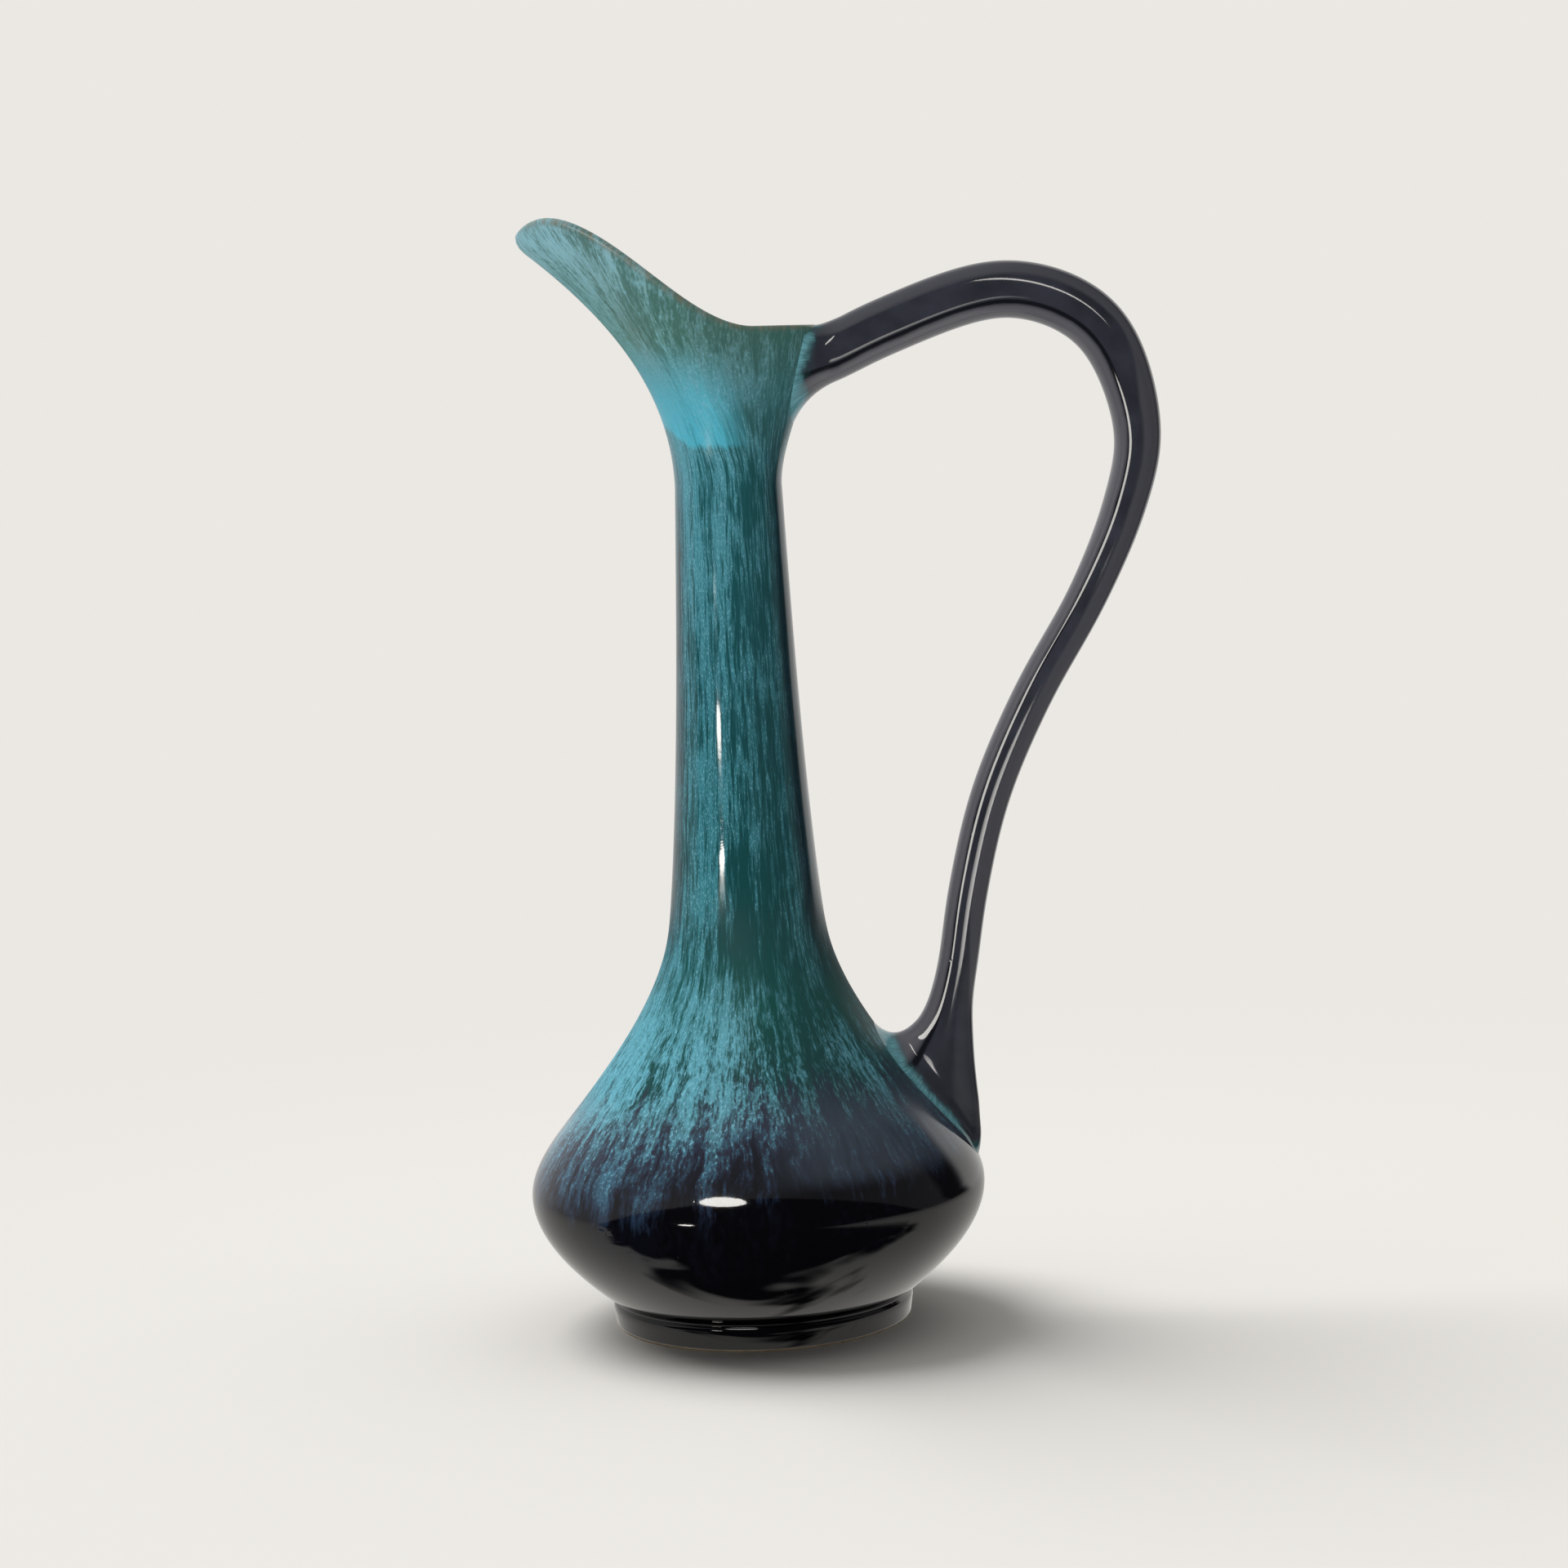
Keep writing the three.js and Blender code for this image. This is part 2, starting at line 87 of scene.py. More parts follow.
# Thrown outline between the belly and the neck's top
BOWL_SEAT_RADIUS = 38.4 * MM
SHOULDER_HEIGHT = 60 * MM
SHOULDER_RADIUS = 44.2 * MM
NECK_SWEEP_HEIGHT = 96 * MM
NECK_SWEEP_RADIUS = 22.3 * MM
NECK_TOP_RADIUS = 13.8 * MM

# Stations of the outline: height, radius and lean (growth of the radius with height)
STATIONS = np.array(
    [
        [FOOT_HEIGHT, BOWL_SEAT_RADIUS, 1.3],
        [BELLY_HEIGHT, BELLY_RADIUS, 0],
        [SHOULDER_HEIGHT, SHOULDER_RADIUS, -0.8],
        [NECK_SWEEP_HEIGHT, NECK_SWEEP_RADIUS, -0.33],
        [NECK_ROOT_HEIGHT, NECK_ROOT_RADIUS, -0.095],
        [NECK_TOP_HEIGHT, NECK_TOP_RADIUS, -0.035],
    ]
)

# Walls
BODY_WALL = 4.4 * MM
NECK_WALL = 4 * MM
LIP_WALL = 2.6 * MM
FLOOR_THICKNESS = 5 * MM
FLOOR_CORNER_ROUND = 9 * MM
FOOT_RING_WIDTH = 8 * MM
FOOT_EDGE_ROUND = 1.2 * MM

# Spouted mouth
RIM_HEIGHT = NECK_TOP_HEIGHT + 39 * MM
BACK_REACH = 25 * MM
SPOUT_REACH = 54.8 * MM
MOUTH_HALF_WIDTH = 19 * MM
MOUTH_TAPER = 0.15
SPOUT_RISE = 29.1 * MM
SPOUT_RISE_LENGTH = 55 * MM
SPOUT_RISE_START = 8.6 * MM
LIP_DROOP = 2.6 * MM
LIP_DROOP_ANGLE = math.radians(56)
LIP_CURL = 3.2 * MM
LIP_CURL_ANGLE = math.radians(58)
LIP_CURL_START = 0.935
SPOUT_LEAN_ANGLE = math.radians(52.5)
FLARE_NECK_PULL = 0.85
FLARE_BACK_PULL = 0.6
FLARE_SPOUT_PULL = 1.47

# Handle
HANDLE_SEAT_HEIGHT = 46 * MM
HANDLE_SQUARENESS = 2.3
HANDLE_EVENING = 4 * MM
ROOT_REACH = 10 * MM
RIM_ROOT_REACH = 6 * MM
TAIL_ROOT_REACH = 4 * MM
ROOT_SINK = 0.15 * MM

# The glaze's strands are laid out round a circle of this radius, and along by the length they have run.
RUN_CIRCLE = 20 * MM

# Points round the skins and rows along them
POT_SIDES = 192
BODY_ROWS = 170
MOUTH_ROWS = 49
LIP_ROWS = 11
INSIDE_ROWS = 70
HANDLE_SIDES = 56
LOOP_ROWS = 260
ROOT_ROWS = 17
FOOT_CURVE_ROWS = 7
FLOOR_ROWS = 9
RECESS_ROWS = 12
RECESS_CURVE_ROWS = 6

# Steps of the searches and averages
FINE_STEPS = 4000
TABLE_STEPS = 1600
SEARCH_STEPS = 1200
HALVINGS = 24


def lerp(start, end, share):
    return start + (end - start) * share


def smoothstep(value, low, high):
    """0 below low, 1 above high, and an S-shaped cubic between them."""
    share = np.clip((value - low) / (high - low), 0, 1)
    return share * share * (3 - 2 * share)


def hermite(start, end, slope_start, slope_end, share):
    """The cubic through two values with a set slope at each, both for a span of 1."""
    square = share * share
    cube = square * share
    from_ends = (2 * cube - 3 * square + 1) * start + (3 * square - 2 * cube) * end
    return from_ends + (cube - 2 * square + share) * slope_start + (cube - square) * slope_end


def bezier(start, corner, end, share):
    """The parabola that leaves start towards corner and arrives at end from corner."""
    rest = 1 - share
    return rest * rest * start + 2 * rest * share * corner + share * share * end


def polar(radius, angle, height):
    """Points at a radius, an angle and a height about the axis."""
    return np.stack(np.broadcast_arrays(radius * np.cos(angle), radius * np.sin(angle), height), axis=-1)


def turns(count):
    """Angles once round, without the last, which is the first again."""
    return np.linspace(0, 2 * np.pi, count, endpoint=False)


def lengths(vectors):
    return np.linalg.norm(vectors, axis=-1)[..., None]


# The thrown body
def outline_at(height):
    """Outside radius and lean at heights: a cubic from station to station that keeps each station's lean."""
    height = np.asarray(height, float)
    index = np.clip(np.searchsorted(STATIONS[:, 0], height, side="right") - 1, 0, len(STATIONS) - 2)
    low = STATIONS[index]
    high = STATIONS[index + 1]
    span = high[..., 0] - low[..., 0]
    share = (height - low[..., 0]) / span
    ends = (low[..., 1], high[..., 1], low[..., 2] * span, high[..., 2] * span)
    radius = hermite(*ends, share)
    step = 1e-4
    ahead = hermite(*ends, share + step)
    return radius, (ahead - radius) / (step * span)


def inside_at(height):
    """Inside radius at heights: the outside less the wall, which is measured square to the outside."""
    radius, lean = outline_at(height)
    wall = lerp(BODY_WALL, NECK_WALL, smoothstep(height, BELLY_HEIGHT, NECK_ROOT_HEIGHT))
    return radius - wall * np.hypot(1, lean)


def even_heights(low, high, count):
    """Heights that part the outline between low and high into steps of equal length along it."""
    fine = np.linspace(low, high, FINE_STEPS)
    length = np.concatenate([[0], np.cumsum(np.hypot(np.diff(fine), np.diff(outline_at(fine)[0])))])
    return np.interp(np.linspace(0, length[-1], count), length, fine)


def revolve(profile, angle):
    """Rings about the pitcher's axis, one for each (radius, height) of the profile."""
    return polar(profile[:, 0:1], angle, profile[:, 1:2])


# The spouted mouth
def spout_share(angle, spread):
    """1 at the middle of the spout, falling to 0 at an angle of spread on either side."""
    from_spout = np.abs(np.mod(angle, 2 * np.pi) - np.pi)
    return smoothstep(spread - from_spout, 0, spread)


def rim_at(angle):
    """The rim about the axis: a leaf in plan that climbs to the spout and droops at the spout's lip."""
    x = (BACK_REACH - SPOUT_REACH) / 2 + (BACK_REACH + SPOUT_REACH) / 2 * np.cos(angle)
    y = MOUTH_HALF_WIDTH * np.sin(angle) * (1 + MOUTH_TAPER * np.cos(angle))
    climb = SPOUT_RISE * smoothstep(SPOUT_RISE_START - x, 0, SPOUT_RISE_LENGTH)
    droop = LIP_DROOP * spout_share(angle, LIP_DROOP_ANGLE)
    return np.stack([x, y, RIM_HEIGHT + climb - droop], axis=-1)


def lean_at(angle):
    """Direction in which the mouth runs out at its rim: upright at the back, leaning out at the spout."""
    lean = SPOUT_LEAN_ANGLE * (1 - np.cos(angle)) / 2
    return polar(np.sin(lean), angle, np.cos(lean))


def mouth_at(angle, share):
    """The mouth's outside: at each angle a cubic leaves the neck upright (share 0) and leans into the rim
    (share 1). Near the rim the spout's lip curls up, by the square of the way. Shares above 1 run on
    straight."""
    angle, share = np.broadcast_arrays(np.asarray(angle, float), np.asarray(share, float))
    neck = polar(NECK_TOP_RADIUS, angle, NECK_TOP_HEIGHT)
    rim = rim_at(angle)
    chord = lengths(rim - neck)
    pull = lerp(FLARE_BACK_PULL, FLARE_SPOUT_PULL, (1 - np.cos(angle)) / 2)[..., None]
    leaving = FLARE_NECK_PULL * chord * np.array([0, 0, 1])
    arriving = pull * chord * lean_at(angle)
    wall = hermite(neck, rim, leaving, arriving, np.minimum(share, 1)[..., None])
    way = np.clip((share - LIP_CURL_START) / (1 - LIP_CURL_START), 0, 1)
    curl = LIP_CURL * spout_share(angle, LIP_CURL_ANGLE) * way**2
    past = chord * np.maximum(share - 1, 0)[..., None] * lean_at(angle)
    return wall + past + curl[..., None] * np.array([1, 0, 0])


def mouth_normal(angle, share):
    """Outward direction of the mouth's outside, square to the surface; level where it leaves the neck."""
    angle, share = np.broadcast_arrays(np.asarray(angle, float), np.asarray(share, float))
    step = 1e-3
    around = mouth_at(angle + step, share) - mouth_at(angle - step, share)
    along = mouth_at(angle, np.minimum(share + step, 1)) - mouth_at(angle, np.maximum(share - step, 0))
    normal = np.cross(around, along)
    return np.where((share <= 0)[..., None], polar(1, angle, 0), normal / lengths(normal))


# Meshes
def put(name, data):
    """A new object in the scene."""
    made = bpy.data.objects.new(name, data)
    bpy.context.scene.collection.objects.link(made)
    return made


def skin(name, rows, material, cap_start=False, cap_end=False):
    """A mesh through rings of points about the pitcher's axis, each ring closed on itself. A cap joins an
    end ring to its middle."""
    count, sides = rows.shape[:2]
    row = np.arange(count - 1)[:, None]
    side = np.arange(sides)[None, :]
    beside = (side + 1) % sides
    low = row * sides
    high = low + sides
    quads = np.stack([low + side, low + beside, high + beside, high + side], axis=-1)
    points = rows.reshape(-1, 3) + np.array([AXIS_X, 0, 0])
    faces = quads.reshape(-1, 4).tolist()
    for wanted, first, turned in ((cap_start, 0, True), (cap_end, (count - 1) * sides, False)):
        if wanted:
            middle = points[first : first + sides].mean(axis=0)
            pole = len(points)
            points = np.vstack([points, middle])
            ring = first + np.arange(sides)
            after = first + (np.arange(sides) + 1) % sides
            pair = [after, ring] if turned else [ring, after]
            faces += np.stack([*pair, np.full(sides, pole)], axis=-1).tolist()
    mesh = bpy.data.meshes.new(name)
    mesh.from_pydata(points.tolist(), [], faces)
    mesh.polygons.foreach_set("use_smooth", np.ones(len(faces), bool))
    mesh.materials.append(material)
    piece = put(name, mesh)
    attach(piece, "root")
    return piece


def keep_values(piece, name, values):
    """Stores one number or one vector for each point of a skin; the poles of its caps repeat the last."""
    values = np.asarray(values, np.float32)
    width = 3 if values.ndim == 3 else 1
    flat = values.reshape(-1, width)
    short = len(piece.data.vertices) - len(flat)
    flat = np.vstack([flat, np.repeat(flat[-1:], short, axis=0)])
    kind, field = ("FLOAT_VECTOR", "vector") if width == 3 else ("FLOAT", "value")
    attribute = piece.data.attributes.new(name, kind, "POINT")
    attribute.data.foreach_set(field, flat.ravel())


def run_length(rows):
    """Distance run along each column of a skin, from its first ring."""
    steps = np.linalg.norm(np.diff(rows, axis=0), axis=-1)
    return np.concatenate([np.zeros((1, rows.shape[1])), np.cumsum(steps, axis=0)])


# Materials
PIT_DEPTH = 0.00002
GLAZE_IOR = 1.5


def paint(red, green, blue):
    """A colour given as it shows on a screen, 0 to 255, in the linear light that the nodes use."""
    value = np.array([red, green, blue]) / 255
    linear = np.where(value <= 0.04045, value / 12.92, ((value + 0.055) / 1.055) ** 2.4)
    return (*linear.tolist(), 1.0)


def connect(tree, node, inputs):
    """Sets a node's inputs to values, or links them from sockets."""
    for key, value in inputs.items():
        if isinstance(value, bpy.types.NodeSocket):
            tree.links.new(value, node.inputs[key])
        else:
            node.inputs[key].default_value = value


def add(tree, kind, inputs=None, **settings):
    """A node with its settings and inputs."""
    made = tree.nodes.new(kind)
    for name, value in settings.items():
        setattr(made, name, value)
    connect(tree, made, inputs or {})
    return made


def maths(tree, operation, first, second=0.5, third=0.5):
    return add(tree, "ShaderNodeMath", {0: first, 1: second, 2: third}, operation=operation).outputs[0]


def vector_maths(tree, operation, first, second=(0, 0, 0)):
    return add(tree, "ShaderNodeVectorMath", {0: first, 1: second}, operation=operation).outputs[0]


def product(tree, first, *others):
    for other in others:
        first = maths(tree, "MULTIPLY", first, other)
    return first


def plus(tree, value, share, amount):
    """The value with a share of the amount added."""
    return maths(tree, "MULTIPLY_ADD", share, amount, value)


def sway(tree, value, noise, amount, centre=0.5):
    """The value moved by a noise: the amount times the noise's distance from its centre."""
    return plus(tree, value, maths(tree, "SUBTRACT", noise, centre), amount)


def band(tree, value, low, high, to_low=0.0, to_high=1.0):
    """A smooth change of to_low into to_high as the value goes from low to high."""
    settings = {"Value": value, "From Min": low, "From Max": high, "To Min": to_low, "To Max": to_high}
    return add(tree, "ShaderNodeMapRange", settings, interpolation_type="SMOOTHSTEP").outputs[0]


def zone(tree, value, rise_start, rise_end, fall_start, fall_end):
    """1 inside a zone of the value, with a smooth rise into it and a smooth fall out of it."""
    rise = band(tree, value, rise_start, rise_end)
    fall = band(tree, value, fall_start, fall_end, 1.0, 0.0)
    return maths(tree, "MULTIPLY", rise, fall)


def blend(tree, share, under, over):
    """The over colour laid on the under colour by a share."""
    made = add(tree, "ShaderNodeMix", data_type="RGBA")
    connect(tree, made, {0: share, 6: under, 7: over})
    return made.outputs[2]


def ramp(tree, value, stops):
    """Colours at set places along a value, blended between them."""
    made = add(tree, "ShaderNodeValToRGB", {"Fac": value})
    elements = made.color_ramp.elements
    while len(elements) < len(stops):
        elements.new(1.0)
    for element, (place, colour) in zip(elements, stops):
        element.position = place
        element.color = colour
    return made.outputs[0]


def object_place(tree):
    return add(tree, "ShaderNodeTexCoord").outputs["Object"]


def axes_of(tree, vector):
    return add(tree, "ShaderNodeSeparateXYZ", {0: vector}).outputs


def drawn_level(tree, place):
    """Height above the table in the drawing's millimetres."""
    return maths(tree, "DIVIDE", axes_of(tree, place)["Z"], MM)


def kept(tree, name, output):
    """A value that was stored for each point of a skin."""
    return add(tree, "ShaderNodeAttribute", attribute_name=name).outputs[output]


def noise_at(tree, place, scale, detail):
    return add(tree, "ShaderNodeTexNoise", {"Vector": place, "Scale": scale, "Detail": detail}).outputs[0]


def new_group(name, inputs, outputs):
    """A shader node group with inputs and outputs of named kinds, and its two end nodes."""
    tree = bpy.data.node_groups.new(name, "ShaderNodeTree")
    for way, sockets in (("INPUT", inputs), ("OUTPUT", outputs)):
        for label, kind in sockets.items():
            tree.interface.new_socket(label, in_out=way, socket_type="NodeSocket" + kind)
    return tree, tree.nodes.new("NodeGroupInput").outputs, tree.nodes.new("NodeGroupOutput").inputs


def running_strands():
    """Strands that a glaze leaves as it runs: noise stretched along the run, bent a little by a wider noise.
    Puts out the strands from 0 to 1."""
    inputs = {"Run": "Vector", "Across": "Float", "Along": "Float", "Bend": "Float", "Seed": "Float"}
    tree, given, out = new_group("running_strands", inputs, {"Strands": "Float"})
    bends = add(tree, "ShaderNodeTexNoise", {"Vector": given["Run"], "Scale": 110.0, "Detail": 1.0})
    centred = vector_maths(tree, "SUBTRACT", bends.outputs["Color"], (0.5, 0.5, 0.5))
    shift = add(tree, "ShaderNodeVectorMath", {0: centred, "Scale": given["Bend"]}, operation="SCALE")
    bent = vector_maths(tree, "ADD", given["Run"], shift.outputs[0])
    stretch = add(tree, "ShaderNodeCombineXYZ", {0: given["Across"], 1: given["Across"], 2: given["Along"]})
    drawn = vector_maths(tree, "MULTIPLY", bent, stretch.outputs[0])
    noise = add(
        tree,
        "ShaderNodeTexNoise",
        {"Vector": drawn, "W": given["Seed"], "Scale": 1.0, "Detail": 4.0, "Roughness": 0.6},
        noise_dimensions="4D",
    )
    spread = band(tree, noise.outputs[0], 0.28, 0.72)
    tree.links.new(spread, out["Strands"])
    return tree


def wet_surface():
    """Skin of a glossy glaze: slow swells left by throwing, a fine orange peel and a few pinholes.
    Puts out a height in metres for a Bump node, and a roughness."""
    inputs = {"Place": "Vector", "Swell": "Float", "Peel": "Float", "Gloss": "Float"}
    tree, given, out = new_group("wet_surface", inputs, {"Height": "Float", "Roughness": "Float"})
    swells = noise_at(tree, given["Place"], 38.0, 0.0)
    peel = noise_at(tree, given["Place"], 900.0, 1.0)
    pits = add(tree, "ShaderNodeTexVoronoi", {"Vector": given["Place"], "Scale": 170.0})
    pit = band(tree, pits.outputs["Distance"], 0.03, 0.075, 1.0, 0.0)
    height = maths(tree, "MULTIPLY", swells, given["Swell"])
    height = plus(tree, height, peel, given["Peel"])
    height = plus(tree, height, pit, -PIT_DEPTH)
    tree.links.new(height, out["Height"])
    worn = band(tree, swells, 0.3, 0.7, 0.8, 1.3)
    tree.links.new(maths(tree, "MULTIPLY", worn, given["Gloss"]), out["Roughness"])
    return tree


STRANDS = running_strands()
WET = wet_surface()


def empty_tree(holder):
    """The node tree of a material or a world, without nodes."""
    holder.use_nodes = True
    holder.node_tree.nodes.clear()
    return holder.node_tree


def new_material(name):
    material = bpy.data.materials.new(name)
    tree = empty_tree(material)
    shader = add(tree, "ShaderNodeBsdfPrincipled")
    add(tree, "ShaderNodeOutputMaterial", {"Surface": shader.outputs[0]})
    return material, tree, shader


def use_group(tree, group, inputs):
    """A node group in a material, with its inputs set to values or linked from sockets."""
    return add(tree, "ShaderNodeGroup", inputs, node_tree=group).outputs


def strands(tree, run, across, along, bend, seed):
    """One layer of running strands with its own width, length and bend."""
    inputs = {"Run": run, "Across": across, "Along": along, "Bend": bend, "Seed": seed}
    return use_group(tree, STRANDS, inputs)["Strands"]


def wet(tree, shader, place, swell, peel, gloss):
    """Gives a shader the glossy skin of a glaze."""
    surface = use_group(tree, WET, {"Place": place, "Swell": swell, "Peel": peel, "Gloss": gloss})
    bump = add(tree, "ShaderNodeBump", {"Height": surface["Height"], "Strength": 1.0, "Distance": 1.0})
    inputs = {"Normal": bump.outputs[0], "Roughness": surface["Roughness"], "IOR": GLAZE_IOR}
    connect(tree, shader, inputs)


def strand_layer(tree, run, wide, on_narrow, on_wide, bend, seed):
    """Strands with one spacing across and along on the narrow neck and another where the pot is wide."""
    narrow_strands = strands(tree, run, *on_narrow, bend, seed)
    wide_strands = strands(tree, run, *on_wide, bend, seed + 0.5)
    return add(tree, "ShaderNodeMix", {0: wide, 2: narrow_strands, 3: wide_strands}).outputs[0]


# The pot's glaze: screen colours of its deep and its pale strands at levels of the drawing
DEEP_GLAZE = [
    (0, (6, 5, 8)),
    (42, (7, 7, 11)),
    (49, (23, 24, 36)),
    (55, (40, 44, 60)),
    (62, (44, 52, 66)),
    (68, (26, 66, 66)),
    (84, (20, 78, 74)),
    (106, (24, 74, 77)),
    (160, (26, 74, 80)),
    (222, (30, 84, 90)),
    (242, (48, 106, 108)),
    (258, (66, 112, 104)),
    (286, (74, 124, 124)),
]
PALE_GLAZE = [
    (0, (9, 9, 13)),
    (42, (12, 13, 22)),
    (48, (36, 52, 74)),
    (56, (56, 98, 120)),
    (64, (82, 140, 156)),
    (74, (92, 160, 178)),
    (92, (86, 154, 170)),
    (106, (62, 132, 144)),
    (160, (60, 128, 142)),
    (222, (78, 146, 162)),
    (242, (84, 152, 166)),
    (258, (102, 152, 150)),
    (286, (140, 194, 210)),
]
TURQUOISE = paint(74, 182, 208)
CRYSTAL = paint(122, 184, 206)
MOSS_AND_SHADE = paint(36, 66, 69)
# Mossy dark towards the handle: partly the dark glaze, partly painted shade
NAVY = paint(18, 30, 40)
# Painted reflection: the grey haze laid on the handle's side of the belly
PAINTED_HAZE_GREY = paint(74, 84, 98)
LIP_BROWN = paint(112, 106, 88)

# Zones of levels in the drawing: start and end of the rise, start and end of the fall
SHOULDER_ZONE = (46, 62, 76, 104)
NECK_ROOT_ZONE = (90, 104, 118, 142)
SPOUT_EDGE_ZONE = (90, 115, 185, 215)
NAVY_RUN_ZONE = (84, 110, 212, 236)
PAINTED_HAZE_ZONE = (43, 49, 56, 70)
SATIN_ZONE = (50, 66, 94, 124)

# The handle's glaze
HANDLE_NAVY = [(0.3, paint(35, 37, 45)), (0.5, paint(43, 45, 53)), (0.7, paint(51, 53, 64))]
HANDLE_STRAND = paint(52, 55, 66)
# Painted reflections on the handle: grey bands on its faces and a black line along its inner edges
OUTER_REFLECTION_GREY = paint(66, 67, 74)
INNER_REFLECTION_GREY = paint(86, 86, 93)
REFLECTION_LINE_BLACK = paint(8, 9, 14)
ROOT_TEAL = paint(46, 94, 98)
ROOT_CREST = paint(106, 162, 174)

# Bare clay
CLAY_BUFF = [(0.3, paint(168, 148, 122)), (0.7, paint(196, 178, 152))]
GROG_BROWN = paint(96, 78, 60)


def level_ramp(tree, level, stops):
    """Colours at levels of the drawing, from the table up to the spout's tip."""
    top = (RIM_HEIGHT + SPOUT_RISE) / MM
    share = maths(tree, "DIVIDE", level, top)
    return ramp(tree, share, [(height / top, paint(*colour)) for height, colour in stops])


def running_glaze():
    """The pot's glaze: near-black at the foot, a navy belly that light blue runs into, teal strands up the
    neck, a turquoise flare, olive at the rim and a thin brown break on the lip."""
    material, tree, shader = new_material("running_blue_glaze")
    place = object_place(tree)
    level = drawn_level(tree, place)
    run = kept(tree, "run", "Vector")
    lip = kept(tree, "lip", "Fac")

    # From -1 on the spout's side to 1 on the handle's
    side = maths(tree, "DIVIDE", axes_of(tree, run)["X"], RUN_CIRCLE)

    on_belly = band(tree, level, 105, 72)
    on_flare = band(tree, level, 230, 258)
    wide = maths(tree, "MAXIMUM", on_belly, on_flare)
    broad = strand_layer(tree, run, wide, (150, 8), (450, 22), bend=0.002, seed=1)
    medium = strand_layer(tree, run, wide, (520, 24), (1200, 64), bend=0.0012, seed=2)
    fine = strand_layer(tree, run, wide, (1500, 130), (3000, 480), bend=0.0008, seed=3)
    both = maths(tree, "ADD", broad, medium)
    clouds = noise_at(tree, place, 48, 3)

    # The strands push the colours up and down, so each colour ends in runs, shorter ones up the neck. The
    # spout's side carries more of the pale glaze, so there it runs lower.
    push = band(tree, level, 120, 205, 9, 0.9)
    pushed = sway(tree, level, both, push, centre=1)
    lowered = band(tree, level, 60, 100, -7, 0)
    pushed = plus(tree, pushed, maths(tree, "MINIMUM", side, 0.2), lowered)
    deep = level_ramp(tree, pushed, DEEP_GLAZE)
    pale = level_ramp(tree, pushed, PALE_GLAZE)

    # Pale strands are thickest on the shoulder, on the flare and on the spout's side, and thin at the front
    # of the neck's root and under the spout. The extra pale on the spout's side is partly painted light from
    # the left.
    cover = plus(tree, 0.04, both, 0.4)
    cover = sway(tree, cover, fine, 0.6)
    cover = sway(tree, cover, clouds, 0.95)
    # Paler towards the spout's side: partly the glaze, partly painted light
    cover = plus(tree, cover, side, -0.2)
    spoutward = plus(tree, 0.05, side, -0.04)
    cover = plus(tree, cover, zone(tree, level, *SHOULDER_ZONE), spoutward)
    cover = maths(tree, "ADD", cover, band(tree, level, 185, 222, 0, 0.16))
    root_front = band(tree, maths(tree, "ABSOLUTE", side), 0.2, 0.6, -0.2, -0.05)
    root_back = band(tree, side, 0.2, 0.5, 0, 0.19)
    root_cover = maths(tree, "ADD", root_front, root_back)
    cover = plus(tree, cover, zone(tree, level, *NECK_ROOT_ZONE), root_cover)
    spout_edge = product(tree, band(tree, side, -0.65, -1), zone(tree, level, *SPOUT_EDGE_ZONE))
    cover = plus(tree, cover, spout_edge, -0.22)
    cover = maths(tree, "ADD", cover, band(tree, level, 242, 262, 0, -0.12))
    colour = blend(tree, band(tree, cover, 0.22, 0.88), deep, pale)

    # A turquoise pool on the flare with a clear lower edge, fading towards the rim and the handle
    ragged = sway(tree, level, medium, 1.5)
    bowed = plus(tree, ragged, band(tree, side, -0.5, -1), -5)
    pool = product(
        tree,
        band(tree, bowed, 227.5, 229.5),
        band(tree, level, 234, 256, 1, 0),
        band(tree, sway(tree, side, broad, 0.3), 0, 0.55, 1, 0),
        band(tree, fine, 0.1, 0.9, 0.65, 1),
    )
    colour = blend(tree, pool, colour, TURQUOISE)

    # Fine pale crystals along the strands
    dust = strands(tree, run, 2800, 1200, bend=0.0008, seed=4)
    crystals = product(
        tree,
        band(tree, dust, 0.55, 0.9, 0, 0.6),
        band(tree, cover, 0.35, 0.65),
        band(tree, pushed, 46, 60),
    )
    colour = blend(tree, crystals, colour, CRYSTAL)

    # Towards the handle, away from the light on the left, the pot is darker with a mossy cast: partly more of
    # the dark glaze, partly painted shade.
    dark_glaze_and_shade = product(
        tree,
        band(tree, sway(tree, side, broad, 0.4), -0.05, 0.5),
        band(tree, level, 150, 240, 0.42, 0.3),
        band(tree, pushed, 44, 66),
    )
    colour = blend(tree, dark_glaze_and_shade, colour, MOSS_AND_SHADE)

    # A navy run down the neck on either side of the handle, and a thinner one under the spout
    swayed = sway(tree, side, medium, 0.12)
    handle_run = band(tree, swayed, 0.66, 0.84, 0, 0.75)
    spout_run = band(tree, swayed, -0.76, -0.92, 0, 0.5)
    navy_run = product(tree, maths(tree, "ADD", handle_run, spout_run), zone(tree, level, *NAVY_RUN_ZONE))
    colour = blend(tree, navy_run, colour, NAVY)

    # A grey haze painted over the navy on the handle's side: painted light standing in for the pale
    # surroundings mirrored in the belly
    painted_haze = product(tree, zone(tree, level, *PAINTED_HAZE_ZONE), band(tree, side, -0.1, 0.4, 0, 0.45))
    colour = blend(tree, painted_haze, colour, PAINTED_HAZE_GREY)

    # Brown break where the glaze thins on the lip
    broken = product(tree, lip, band(tree, medium, 0.2, 0.8, 0.25, 0.7))
    colour = blend(tree, broken, colour, LIP_BROWN)

    # The shoulder is satin with weak highlights, and the flare a little satin.
    satin = zone(tree, level, *SATIN_ZONE)
    specular = plus(tree, 0.5, satin, -0.36)
    satin = maths(tree, "MAXIMUM", satin, band(tree, level, 220, 232, 0, 0.6))
    gloss = plus(tree, 0.05, satin, 0.42)
    connect(tree, shader, {"Base Color": colour, "Specular IOR Level": specular})
    wet(tree, shader, place, swell=0.0005, peel=0.000004, gloss=gloss)
    return material


